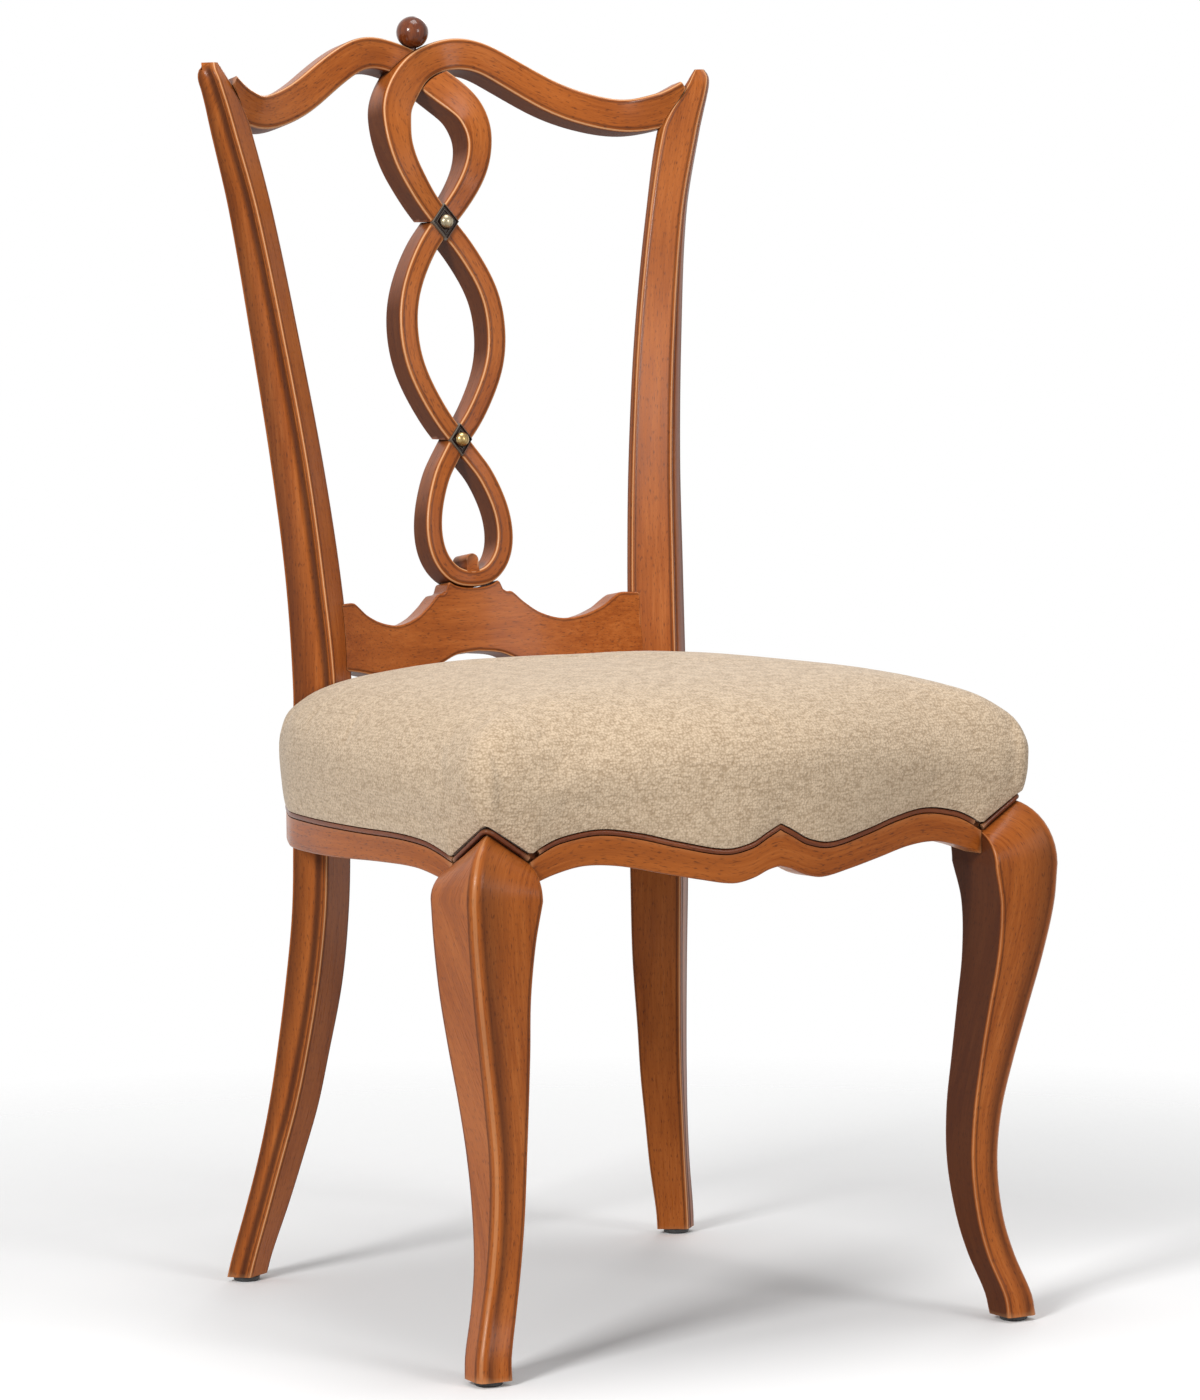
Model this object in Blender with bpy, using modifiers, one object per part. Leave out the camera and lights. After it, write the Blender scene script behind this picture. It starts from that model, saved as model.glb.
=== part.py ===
# Dining chair with cabriole front legs, raked rear posts, a back of two interlaced
# ribbons and a seat upholstered over its rails.
# Metres, +Z up. The chair faces -Y, and its origin is on the floor at the centre of
# its bounding box. Right and left are those of somebody looking at its front.

import math

import bmesh
import bpy
from mathutils import Vector

# Fits
GAP = 0.0003
CENTRING = -0.00978
TENON_THICK = 0.010
TENON_LENGTH = 0.016
TENON_LOW = 0.389
TENON_HIGH = 0.410
# Tenons in the rear posts, from the post's middle: start and end to the side, then to the back
SIDE_REAR_TENON = (0.0075, 0.0245, -0.0100, -0.0020)
REAR_TENON = (-0.0335, 0.0040, -0.0036, 0.0054)
CROSS_TENON = (-0.0245, 0.0075, -0.0006, 0.0074)
CREST_TENON = (-0.0215, -0.0040, 0.0048, 0.0098)
CREST_TENON_Z = (0.926, 0.938)
# Heights between which each part is cut round the rear posts, and how far past them
CREST_SHOULDER_Z = (0.90, 0.98)
CROSS_SHOULDER_Z = (0.46, 0.60)
CUSHION_NOTCH_Z = (0.36, 0.53)
BLOCK_NOTCH_Z = (0.36, 0.44)
SHOULDER_REACH = 0.01
NOTCH_REACH = 0.05
FINE_RADIUS = 0.0026
DOWEL_RADIUS = 0.0035
DOWEL_Z = (0.533, 0.5565)

# Heights
GLIDE_HEIGHT = 0.004
KNEE_Z = 0.350
FRAME_TOP = 0.425
CROWN_Z = 0.505

# Glides
GLIDE_RADIUS = 0.0105
GLIDE_EDGE = 0.0012
PIN_RADIUS = 0.0015
PIN_LENGTH = 0.012

# Front legs, right one: height, corner x from the block, front y, width, depth, and
# how far the back is set outwards
FRONT_LEG = (
    (0.004, 0.0158, -0.2600, 0.0275, 0.0270, -0.0010),
    (0.020, 0.0140, -0.2575, 0.0268, 0.0283, -0.0018),
    (0.050, 0.0045, -0.2488, 0.0262, 0.0287, -0.0022),
    (0.080, -0.0030, -0.2445, 0.0252, 0.0318, -0.0015),
    (0.120, -0.0072, -0.2435, 0.0255, 0.0378, 0.0000),
    (0.160, -0.0058, -0.2470, 0.0273, 0.0432, 0.0015),
    (0.200, 0.0007, -0.2537, 0.0322, 0.0468, 0.0028),
    (0.240, 0.0088, -0.2615, 0.0378, 0.0518, 0.0037),
    (0.280, 0.0170, -0.2695, 0.0428, 0.0570, 0.0036),
    (0.320, 0.0235, -0.2760, 0.0502, 0.0612, 0.0025),
    (0.350, 0.0258, -0.2776, 0.0578, 0.0648, 0.0010),
)
RIDGE_RADIUS = 0.008
LEG_EDGE_RADIUS = 0.003
BLOCK_RADII = (0.003, 0.001, 0.001, 0.001)
CAP_TIP_Z = 0.402
CAP_FRONT_Z = 0.379
CAP_SIDE_Z = 0.376
CAP_LIFT = 0.0031

# Rear legs and posts, right one: height, front corner x and y, width of the front
# face, its turn inwards, depth of the outer face, its turn outwards. The facets
# are how far the inner side first runs straight back.
REAR_POST = (
    (0.004, 0.2020, 0.2020, 0.0255, 32, 0.0202, 45),
    (0.020, 0.1993, 0.1982, 0.0259, 32, 0.0204, 45),
    (0.060, 0.1916, 0.1882, 0.0291, 30, 0.0206, 48),
    (0.100, 0.1841, 0.1782, 0.0310, 29, 0.0212, 48),
    (0.140, 0.1767, 0.1679, 0.0331, 30, 0.0237, 47),
    (0.180, 0.1712, 0.1590, 0.0348, 32, 0.0259, 47),
    (0.240, 0.1650, 0.1476, 0.0386, 33, 0.0283, 47),
    (0.300, 0.1612, 0.1394, 0.0405, 36, 0.0288, 46),
    (0.360, 0.1600, 0.1363, 0.0413, 37, 0.0295, 46),
    (0.430, 0.1565, 0.1330, 0.0378, 39, 0.0335, 46),
    (0.475, 0.1542, 0.1311, 0.0353, 40, 0.0355, 46),
    (0.560, 0.1580, 0.1400, 0.0341, 39, 0.0323, 45),
    (0.650, 0.1643, 0.1520, 0.0317, 40, 0.0315, 46),
    (0.750, 0.1763, 0.1663, 0.0292, 39, 0.0288, 47),
    (0.850, 0.1923, 0.1778, 0.0264, 36, 0.0258, 52),
    (0.915, 0.2089, 0.1826, 0.0275, 35, 0.0224, 53),
    (0.930, 0.2132, 0.1830, 0.0244, 35, 0.0212, 53),
    (0.943, 0.2174, 0.1834, 0.0193, 35, 0.0203, 54),
    (0.953, 0.2203, 0.1846, 0.0150, 35, 0.0197, 54),
    (0.960, 0.2220, 0.1876, 0.0116, 35, 0.0148, 54),
    (0.965, 0.2208, 0.1915, 0.0060, 35, 0.0072, 54),
)
POST_FACET = ((0.330, 0.0010), (0.430, 0.0080), (0.850, 0.0088), (0.930, 0.0110), (0.965, 0.0030))
POST_EDGE_RADIUS = 0.0028
POST_BACK_RADIUS = 0.0024
# Cove beside the front edge, on the outer face: distance from the edge, share of depth
POST_COVE = ((0.0110, 0.0), (0.0085, 0.9), (0.0055, 1.0), (0.0036, 0.0))
POST_COVE_DEPTH = 0.0016
POST_COVE_Z = ((0.430, 0.0), (0.475, 1.0), (0.943, 1.0), (0.960, 0.4), (0.965, 0.0))

# Seat rails
FRONT_STEPS = 41
SIDE_STEPS = 19
SIDE_RAIL_END = 0.157
RAIL_THICK = 0.022
REBATE = 0.004
RAIL_EDGE_RADIUS = 0.002
FRONT_RAIL_HALF = 0.193
FRONT_FACE_Y = -0.2705
FRONT_BOW = 0.0135
BOW_MARGIN = 0.007
LEG_BLOCK_WIDTH = 0.032
LEG_BLOCK_BACK_Y = -0.206
REAR_RAIL_Y = 0.1680
REAR_RAIL_BOW = 0.006
REAR_RAIL_LAP = 0.023
REAR_CORNER_X = 0.178

# Side rail's show face, right one: y, and how far it stands outside the straight
# line from the front leg's block to the rear post
SIDE_REAR_X = 0.1985
SIDE_REAR_Y = 0.130
SIDE_FACE = (
    (-0.250, -0.0045),
    (-0.206, 0.0000),
    (-0.130, 0.0104),
    (-0.050, 0.0177),
    (0.000, 0.0202),
    (0.050, 0.0193),
    (0.080, 0.0162),
    (0.105, 0.0087),
    (0.130, 0.0000),
    (0.165, -0.0138),
)

# Height of the bead and of the lower edge, by share of the front rail's half and by y
FRONT_BEAD = (
    (0.000, 0.3930),
    (0.052, 0.3880),
    (0.124, 0.3805),
    (0.233, 0.3770),
    (0.415, 0.3838),
    (0.570, 0.3913),
    (0.720, 0.3952),
    (0.870, 0.3910),
    (0.943, 0.3855),
    (1.000, 0.3790),
)
FRONT_EDGE = (
    (0.000, 0.3640),
    (0.052, 0.3615),
    (0.114, 0.3564),
    (0.197, 0.3534),
    (0.332, 0.3575),
    (0.482, 0.3634),
    (0.642, 0.3698),
    (0.777, 0.3712),
    (0.891, 0.3666),
    (1.000, 0.3590),
)
SIDE_BEAD = (
    (-0.204, 0.3760),
    (-0.190, 0.3800),
    (-0.168, 0.3845),
    (-0.130, 0.3868),
    (-0.060, 0.3860),
    (0.060, 0.3855),
    (0.165, 0.3860),
)
SIDE_EDGE = (
    (-0.204, 0.3560),
    (-0.185, 0.3610),
    (-0.150, 0.3655),
    (-0.095, 0.3650),
    (-0.015, 0.3615),
    (0.060, 0.3600),
    (0.165, 0.3600),
)
BEAD_RADIUS = 0.0022

# Cushion: outward bulge and height over the bead at the side, then over the crown
CUSHION_SIDE = (
    (-0.0035, 0.0000),
    (0.0008, 0.0000),
    (0.0036, 0.0130),
    (0.0052, 0.0360),
)
CUSHION_WAIST_Z = 0.430
# How much fuller its side is, and how much lower its top, from front to back
CUSHION_FULL = ((-0.290, 1.40), (-0.180, 1.15), (-0.060, 0.85), (0.100, 0.60), (0.180, 1.00))
CUSHION_FALL = ((-0.290, 0.0000), (0.040, 0.0000), (0.110, 0.0015), (0.180, 0.0045))
CUSHION_SHOULDER = (
    (0.0048, 0.4420),
    (0.0006, 0.4570),
    (-0.0095, 0.4690),
    (-0.0350, 0.4810),
)
CROWN_SHARES = (0.58, 0.25)
SEAT_CENTRE_Y = -0.050
RING_TURN = 0.004

# Back: how far it leans, and the heights that its ribbons run between
RAKE = 8
CREST_END_Z = 0.9395
UPPER_CROSSING_Z = 0.8415
LOWER_CROSSING_Z = 0.6662
CREST_CROSSING = 1.284

# Crest rails, right one, running on as the left side of the upper loop:
# x, y of the front face, share of the height from the upper crossing to the
# crest's end, width, depth
CREST_RIBBON = (
    (0.2080, 0.1900, 1.022, 0.0310, 0.0190),
    (0.1970, 0.1965, 0.962, 0.0290, 0.0215),
    (0.1855, 0.2035, 0.917, 0.0288, 0.0245),
    (0.1600, 0.2215, 0.877, 0.0270, 0.0262),
    (0.1200, 0.2460, 1.001, 0.0276, 0.0265),
    (0.0850, 0.2630, 1.217, 0.0270, 0.0275),
    (0.0600, 0.2700, 1.363, 0.0261, 0.0290),
    (0.0400, 0.2750, 1.408, 0.0262, 0.0305),
    (0.0200, 0.2765, 1.376, 0.0256, 0.0310),
    (0.0000, 0.2715, CREST_CROSSING, 0.0262, 0.0310),
    (-0.0182, 0.2600, 1.122, 0.0285, 0.0310),
    (-0.0314, 0.2475, 0.965, 0.0274, 0.0310),
    (-0.0360, 0.2388, 0.806, 0.0250, 0.0308),
    (-0.0362, 0.2340, 0.658, 0.0222, 0.0303),
    (-0.0325, 0.2308, 0.500, 0.0210, 0.0296),
    (-0.0250, 0.2290, 0.342, 0.0200, 0.0288),
    (-0.0140, 0.2295, 0.170, 0.0186, 0.0280),
    (0.0000, 0.2300, 0.000, 0.0180, 0.0275),
    (0.0085, 0.2300, -0.128, 0.0175, 0.0272),
)
# How far the left crest's face is set back where the right one passes over it
CREST_UNDER = ((-0.0360, 0.0), (-0.0182, 0.0025), (0.0200, 0.0025), (0.0600, 0.0))
CREST_UNDER_SHARE = 0.85
# Middle strands, left one: the share is of the height between the two crossings
MIDDLE_RIBBON = (
    (0.0085, 0.2312, 1.071, 0.0175, 0.0275),
    (0.0000, 0.2300, 1.000, 0.0172, 0.0275),
    (-0.0168, 0.2275, 0.886, 0.0170, 0.0275),
    (-0.0345, 0.2210, 0.700, 0.0168, 0.0274),
    (-0.0400, 0.2166, 0.518, 0.0168, 0.0271),
    (-0.0350, 0.2124, 0.324, 0.0165, 0.0267),
    (-0.0162, 0.2090, 0.116, 0.0160, 0.0261),
    (0.0000, 0.2078, 0.000, 0.0155, 0.0258),
    (0.0085, 0.2068, -0.070, 0.0150, 0.0258),
)
# Lower loop, from the lower crossing down its left side to its foot: the share is
# of the height from the foot to the crossing
LOWER_RIBBON = (
    (0.0085, 0.2088, 1.115, 0.0152, 0.0258),
    (0.0000, 0.2078, 1.000, 0.0150, 0.0258),
    (-0.0106, 0.2046, 0.868, 0.0150, 0.0257),
    (-0.0204, 0.2006, 0.737, 0.0146, 0.0256),
    (-0.0297, 0.1950, 0.516, 0.0144, 0.0255),
    (-0.0321, 0.1912, 0.314, 0.0146, 0.0255),
    (-0.0276, 0.1888, 0.150, 0.0148, 0.0255),
    (-0.0160, 0.1874, 0.033, 0.0144, 0.0255),
    (0.0000, 0.1865, 0.000, 0.0128, 0.0255),
    (0.0120, 0.1868, 0.018, 0.0134, 0.0255),
)
RIBBON_STEPS = 3
TRIM_REACH = 0.060
TRIM_Y = (0.100, 0.400)
MITRE_REACH = 0.022
LAP_REACH = 0.070
RIBBON_FRONT_RADIUS = 0.0032
RIBBON_BACK_RADIUS = 0.0025

# Crossing diamonds, studs, ball and nub
UPPER_DIAMOND = (0.0121, 0.0149)
LOWER_DIAMOND = (0.0100, 0.01325)
DIAMOND_THICK = 0.005
DIAMOND_SUNK = 0.0025
DIAMOND_EDGE = 0.0014
STUD_RADIUS = 0.0060
STUD_RISE = 0.0050
STUD_SHANK_RADIUS = 0.0022
STUD_SHANK_LENGTH = 0.018
BALL_RADIUS = 0.0131
BALL_Y = 0.2825
BALL_RISE = 0.0288
BALL_STEM_RADIUS = 0.0030
BALL_STEM_BITE = 0.0010
NUB_RADIUS = 0.0056
NUB_RISE = 0.0150
NUB_STEPS = 10
NUB_SET_BACK = 0.0006
LAP_Y = 0.2870

# Lower back rail: its outline over half its width, and its bow
CROSS_TOP = (
    (0.0000, 0.5480),
    (0.0060, 0.5482),
    (0.0120, 0.5490),
    (0.0180, 0.5508),
    (0.0215, 0.5528),
    (0.0232, 0.5520),
    (0.0255, 0.5465),
    (0.0290, 0.5442),
    (0.0335, 0.5438),
    (0.0425, 0.5357),
    (0.0560, 0.5264),
    (0.0740, 0.5212),
    (0.0920, 0.5238),
    (0.1070, 0.5305),
    (0.1160, 0.5376),
    (0.1210, 0.5409),
    (0.1300, 0.5410),
    (0.1480, 0.5410),
)
CROSS_BOTTOM = (
    (0.0000, 0.4970),
    (0.0200, 0.4948),
    (0.0350, 0.4886),
    (0.0520, 0.4812),
    (0.0720, 0.4788),
    (0.0950, 0.4810),
    (0.1200, 0.4862),
    (0.1480, 0.4902),
)
CROSS_DEPTH = 0.0245
CROSS_EDGE_RADIUS = 0.0020
CROSS_Y = 0.1870
CROSS_BOW = 1.69
CROSS_TENON_Z = (0.497, 0.528)
LOOP_FOOT_RISE = 0.0070

# Under the seat
BLOCK_BOTTOM = 0.376
BLOCK_TOP = 0.4235
# Reach of each corner block along its two rails, from the leg's block and from the
# post's front corner, and how near the rear one comes to the post
FRONT_BLOCK_REACH = (0.063, 0.066)
REAR_BLOCK_REACH = (0.0600, 0.0510)
REAR_BLOCK_START = (0.0205, 0.0110)
REAR_SCREW_SHARE = 0.25
SCREW_HEAD_RADIUS = 0.0042
SCREW_HEAD_THICK = 0.0024
SCREW_RADIUS = 0.0020
SCREW_BITE = 0.012
SCREW_HEIGHTS = (("low", 0.3825), ("high", 0.4165))
STRAP_WIDTH = 0.050
STRAP_THICK = 0.0016
STRAP_INSET = 0.007
STRAP_X = (-0.095, 0.0, 0.095)
STRAP_Y = (-0.155, -0.050, 0.055)
COVER_THICK = 0.0010
COVER_INSET = 0.001

# Colour, roughness and metallic value of each material
LOOKS = {
    "wood": ((0.42, 0.17, 0.05), 0.32, 0.0),
    "bead_wood": ((0.16, 0.05, 0.025), 0.30, 0.0),
    "cherry": ((0.20, 0.05, 0.02), 0.18, 0.0),
    "ebonised": ((0.03, 0.022, 0.018), 0.35, 0.0),
    "bronze": ((0.45, 0.36, 0.20), 0.35, 1.0),
    "fabric": ((0.60, 0.48, 0.35), 0.95, 0.0),
    "webbing": ((0.35, 0.28, 0.20), 0.90, 0.0),
    "lining": ((0.03, 0.03, 0.03), 0.95, 0.0),
    "block_wood": ((0.55, 0.40, 0.25), 0.60, 0.0),
    "steel": ((0.55, 0.55, 0.56), 0.35, 1.0),
    "glide": ((0.02, 0.02, 0.02), 0.50, 0.0),
}


# Scene

for leftover in list(bpy.data.objects):
    bpy.data.objects.remove(leftover, do_unlink=True)

PARTS = bpy.data.collections.new("dining_chair")
CUTTERS = bpy.data.collections.new("cutters")
PLACE = bpy.data.objects.new("centring", None)
PLACE.location.y = CENTRING
for group in (PARTS, CUTTERS):
    bpy.context.scene.collection.children.link(group)
PARTS.objects.link(PLACE)


def material(look, name):
    colour, roughness, metallic = LOOKS[look]
    made = bpy.data.materials.new(name)
    made.use_nodes = True
    shader = made.node_tree.nodes["Principled BSDF"]
    shader.inputs["Base Color"].default_value = (*colour, 1.0)
    shader.inputs["Roughness"].default_value = roughness
    shader.inputs["Metallic"].default_value = metallic
    return made


def place(made, look):
    """Links an object as a part with a look, or without one as a cutter."""
    made.parent = PLACE
    if look:
        made.data.materials.append(material(look, made.name))
        PARTS.objects.link(made)
    else:
        made.hide_render = True
        made.display_type = "WIRE"
        CUTTERS.objects.link(made)


def add(name, bm, look=None):
    """A named object from a bmesh: a part with a look, or without one a cutter."""
    bmesh.ops.recalc_face_normals(bm, faces=bm.faces)
    mesh = bpy.data.meshes.new(name)
    bm.to_mesh(mesh)
    bm.free()
    made = bpy.data.objects.new(name, mesh)
    place(made, look)
    if look:
        mesh.shade_smooth()
        mesh.set_sharp_from_angle(angle=math.radians(38))
    return made


def boolean(target, other, operation="DIFFERENCE"):
    step = target.modifiers.new(other.name, "BOOLEAN")
    step.operation = operation
    step.object = other
    step.solver = "EXACT"


# Curves and sections

def grown(corners, distance):
    """A convex plane outline with each side moved out by a distance."""
    made = []
    centre = middle_of(corners)
    for i, corner in enumerate(corners):
        sides = []
        for other in (corners[i - 1], corners[(i + 1) % len(corners)]):
            along = (other - corner).normalized()
            outwards = Vector((along.y, -along.x))
            sides.append(outwards if outwards.dot(corner - centre) > 0 else -outwards)
        bisector = (sides[0] + sides[1]).normalized()
        made.append(corner + bisector * distance / bisector.dot(sides[0]))
    return made


def through(rows, at):
    """The smooth curve through rows of (position, values...), read at one position."""
    at = min(max(at, rows[0][0]), rows[-1][0])
    i = next(i for i in range(len(rows) - 1) if at <= rows[i + 1][0])
    a, b = rows[i], rows[i + 1]
    before, after = rows[max(i - 1, 0)], rows[min(i + 2, len(rows) - 1)]
    span = b[0] - a[0]
    t = (at - a[0]) / span
    found = []
    for k in range(1, len(a)):
        leave = (b[k] - before[k]) / (b[0] - before[0]) * span
        arrive = (after[k] - a[k]) / (after[0] - a[0]) * span
        rise = t * t * (3 - 2 * t)
        found.append(
            a[k] * (1 - rise)
            + b[k] * rise
            + leave * t * (1 - t) ** 2
            - arrive * t * t * (1 - t)
        )
    return found


def spline(points, per_span):
    """Points along the smooth curve through the given ones, ends included."""
    made = []
    last = len(points) - 1
    for i in range(last):
        p0, p1 = points[max(i - 1, 0)], points[i]
        p2, p3 = points[i + 1], points[min(i + 2, last)]
        for step in range(per_span):
            t = step / per_span
            made.append([
                0.5 * (2 * b + (c - a) * t + (2 * a - 5 * b + 4 * c - d) * t * t
                       + (3 * b - a - 3 * c + d) * t ** 3)
                for a, b, c, d in zip(p0, p1, p2, p3)
            ])
    made.append(list(points[-1]))
    return made


def middle_of(corners):
    return sum(corners, Vector((0, 0))) / len(corners)


def spread(low, high, count):
    return [low + (high - low) * i / (count - 1) for i in range(count)]


def corner_arc(corner, before, after, radius, steps):
    """Points that round one corner of a plane outline with an arc-like curve."""
    radius = min(radius, 0.45 * min((before - corner).length, (after - corner).length))
    to_before = (before - corner).normalized() * radius
    to_after = (after - corner).normalized() * radius
    made = []
    for i in range(steps + 1):
        t = i / steps
        made.append(corner + to_before * (1 - t) ** 2 + to_after * t ** 2)
    return made


def rounded(corners, radii, finest=FINE_RADIUS):
    """A closed plane outline whose corners are rounded, a finer one with a single facet."""
    made = []
    count = len(corners)
    for i, corner in enumerate(corners):
        steps = 1 if radii[i] < finest else 2
        made += corner_arc(
            corner, corners[i - 1], corners[(i + 1) % count], radii[i], steps
        )
    return made


def loft(name, rings, look=None, closed=False):
    """A closed solid through rings that have the same number of points."""
    bm = bmesh.new()
    rows = [[bm.verts.new(point) for point in ring] for ring in rings]
    count = len(rows[0])
    pairs = list(zip(rows, rows[1:]))
    if closed:
        pairs.append((rows[-1], rows[0]))
    for low, high in pairs:
        for i in range(count):
            j = (i + 1) % count
            bm.faces.new((low[i], low[j], high[j], high[i]))
    if not closed:
        bm.faces.new(rows[0][::-1])
        bm.faces.new(rows[-1])
    return add(name, bm, look)


def box(name, low, high, look=None):
    bm = bmesh.new()
    bmesh.ops.create_cube(bm, size=1)
    low, high = Vector(low), Vector(high)
    for vertex in bm.verts:
        share = vertex.co + Vector((0.5, 0.5, 0.5))
        vertex.co = Vector(low[k] + (high[k] - low[k]) * share[k] for k in range(3))
    return add(name, bm, look)


def turned(name, profile, centre, axis, look=None, steps=20):
    """A solid of revolution: a Screw on a profile of (radius, along), last point lowest."""
    mesh = bpy.data.meshes.new(name)
    points = [(radius, 0, along) for radius, along in profile]
    mesh.from_pydata(points, [(i, i + 1) for i in range(len(points) - 1)], [])
    made = bpy.data.objects.new(name, mesh)
    screw = made.modifiers.new("turn", "SCREW")
    screw.steps = screw.render_steps = steps
    screw.use_merge_vertices = True
    screw.merge_threshold = 0.00001
    made.location = centre
    made.rotation_euler = Vector(axis).to_track_quat("Z", "Y").to_euler()
    place(made, look)
    return made


def rod(name, start, end, radius, look=None, sides=12):
    start, end = Vector(start), Vector(end)
    length = (end - start).length
    return turned(
        name,
        [(0, length), (radius, length), (radius, 0), (0, 0)],
        start, end - start, look, sides,
    )


def prism(name, outline, low, high, look=None):
    """A plane outline in x and y, raised from one height to another."""
    curve = bpy.data.curves.new(name, "CURVE")
    curve.dimensions = "2D"
    curve.fill_mode = "BOTH"
    curve.extrude = (high - low) / 2
    line = curve.splines.new("POLY")
    line.points.add(len(outline) - 1)
    for knot, point in zip(line.points, outline):
        knot.co = (*point, 0, 1)
    line.use_cyclic_u = True
    guide = bpy.data.objects.new(f"{name}_outline", curve)
    guide.location.z = (low + high) / 2
    CUTTERS.objects.link(guide)
    bpy.context.view_layer.update()
    solid = guide.evaluated_get(bpy.context.evaluated_depsgraph_get())
    bm = bmesh.new()
    bm.from_mesh(bpy.data.meshes.new_from_object(solid))
    bm.transform(guide.matrix_world)
    bmesh.ops.remove_doubles(bm, verts=bm.verts, dist=0.00001)
    bmesh.ops.dissolve_limit(bm, angle_limit=0.0001, verts=bm.verts, edges=bm.edges)
    bpy.data.objects.remove(guide, do_unlink=True)
    return add(name, bm, look)


def mirrored(point, side):
    return Vector((point[0] * side, point[1], point[2]))


def sided_box(name, side, low, high):
    """A box given for the right side, or its mirror image for the left."""
    if side < 0:
        low, high = (-high[0], low[1], low[2]), (-low[0], high[1], high[2])
    return box(name, low, high)


SIDES = (("left", -1), ("right", 1))


LEG_BLOCK_X = FRONT_RAIL_HALF + LEG_BLOCK_WIDTH
RAKE_SINE, RAKE_COSINE = math.sin(math.radians(RAKE)), math.cos(math.radians(RAKE))
CREST_CROSSING_Z = UPPER_CROSSING_Z + CREST_CROSSING * (CREST_END_Z - UPPER_CROSSING_Z)
LOOP_FOOT_Z = CROSS_TOP[0][1] + LOOP_FOOT_RISE


def leaning(origin, across, up, deep, side=1):
    """A point on the back, which leans by the rake, measured from one on its face."""
    x, y, z = origin
    return mirrored((x + across, y + up * RAKE_SINE + deep * RAKE_COSINE,
                     z + up * RAKE_COSINE - deep * RAKE_SINE), side)


# Front legs

def front_leg_plan(z):
    """Corners of the leg's section, from the ridge round by the front to the back."""
    x, y, width, depth, splay = through(FRONT_LEG, z)
    x += LEG_BLOCK_X
    inner, back = x - width, y + depth
    return [Vector((x, y)), Vector((inner, y)), Vector((inner + splay, back)),
            Vector((x + splay, back))]


def block_plan():
    front = front_face(FRONT_RAIL_HALF) + REBATE
    inner = FRONT_RAIL_HALF
    return [
        Vector((LEG_BLOCK_X, front)),
        Vector((inner, front)),
        Vector((inner, LEG_BLOCK_BACK_Y)),
        Vector((LEG_BLOCK_X, LEG_BLOCK_BACK_Y)),
    ]


def cap_height(share_x, share_y):
    """Height of the moulding, which falls from its tip to the front and the side."""
    front = CAP_FRONT_Z + (CAP_TIP_Z - CAP_FRONT_Z) * share_x
    back = CAP_SIDE_Z
    return front * (1 - share_y) + back * share_y


def front_leg(label, side):
    radii = [RIDGE_RADIUS] + [LEG_EDGE_RADIUS] * 3
    rings = []
    heights = [row[0] for row in FRONT_LEG]
    levels = []
    for low, high in zip(heights, heights[1:]):
        levels += [low, (low + high) / 2]
    for z in levels + [KNEE_Z]:
        plan = rounded(front_leg_plan(z), radii, 0)
        rings.append([mirrored((p.x, p.y, z), side) for p in plan])
    knee = rounded(front_leg_plan(KNEE_Z), radii, 0)
    block_corners = block_plan()
    block = rounded(block_corners, BLOCK_RADII, 0)
    low, high = block_corners[2], block_corners[0]
    rim = []
    for p in block:
        share_x = (p.x - low.x) / (high.x - low.x)
        share_y = (p.y - high.y) / (low.y - high.y)
        rim.append(cap_height(share_x, share_y) - CAP_LIFT)
    for angle in (18, 36, 54, 68, 78):
        turn = math.radians(angle)
        end = math.radians(78)
        inwards = (1 - math.cos(turn)) / (1 - math.cos(end))
        upwards = math.sin(turn) / math.sin(end)
        ring = []
        for k, b, z in zip(knee, block, rim):
            p = k.lerp(b, inwards)
            ring.append(mirrored((p.x, p.y, KNEE_Z + (z - KNEE_Z) * upwards), side))
        rings.append(ring)
    rings.append([mirrored((p.x, p.y, FRAME_TOP), side) for p in block])
    leg = loft(f"front_leg_{label}", rings, "wood")
    return leg


def cap_bead(label, side):
    """The moulding that runs over the leg's cap, from the front rail to the side rail."""
    room = BEAD_RADIUS + GAP
    inner, back = FRONT_RAIL_HALF + 0.0010, LEG_BLOCK_BACK_Y - 0.0016
    front = front_face(FRONT_RAIL_HALF) + REBATE - room
    outer = LEG_BLOCK_X + room
    corner = Vector((outer, front))
    line = [Vector((x, front)) for x in spread(inner, outer - 0.006, 4)][:-1]
    line += corner_arc(corner, Vector((inner, front)), Vector((outer, back)), 0.006, 4)
    line += [Vector((outer, y)) for y in spread(front + 0.006, back, 4)][1:]
    points = []
    for p in line:
        share_x = (p.x - inner) / (outer - inner)
        share_y = (p.y - front) / (back - front)
        points.append(mirrored((p.x, p.y, cap_height(share_x, share_y)), side))
    return bead(f"bead_cap_{label}", points)


# Rear legs and posts

def post_plan(z, grow=0.0, behind=0.0, beyond=0.0):
    """Section of the post: front outer, front inner, facet's end, back inner, back outer."""
    x, y, width, turn, depth, splay = through(REAR_POST, z)
    facet = through(POST_FACET, z)[0]
    inwards = Vector((-math.cos(math.radians(turn)), math.sin(math.radians(turn))))
    outwards = Vector((math.cos(math.radians(splay)), math.sin(math.radians(splay))))
    front_outer = Vector((x, y))
    front_inner = front_outer + inwards * width
    back = outwards * depth
    corners = grown([front_outer, front_inner, front_inner + Vector((0, facet)),
                     front_inner + back, front_outer + back], grow)
    for corner in corners[3:]:
        corner += outwards * behind
    if beyond:
        corners.insert(1, corners[1] - outwards * beyond)
        corners[0] -= (outwards + inwards) * beyond
        corners[5] -= inwards * beyond
    return corners


def post_heart(z):
    plan = post_plan(z)
    return middle_of(plan[:2] + plan[3:])


def post_levels():
    heights = [row[0] for row in REAR_POST]
    levels = []
    for low, high in zip(heights, heights[1:]):
        levels.append(low)
        if high - low > 0.03:
            levels.append((low + high) / 2)
    return levels + [heights[-1]]


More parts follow.
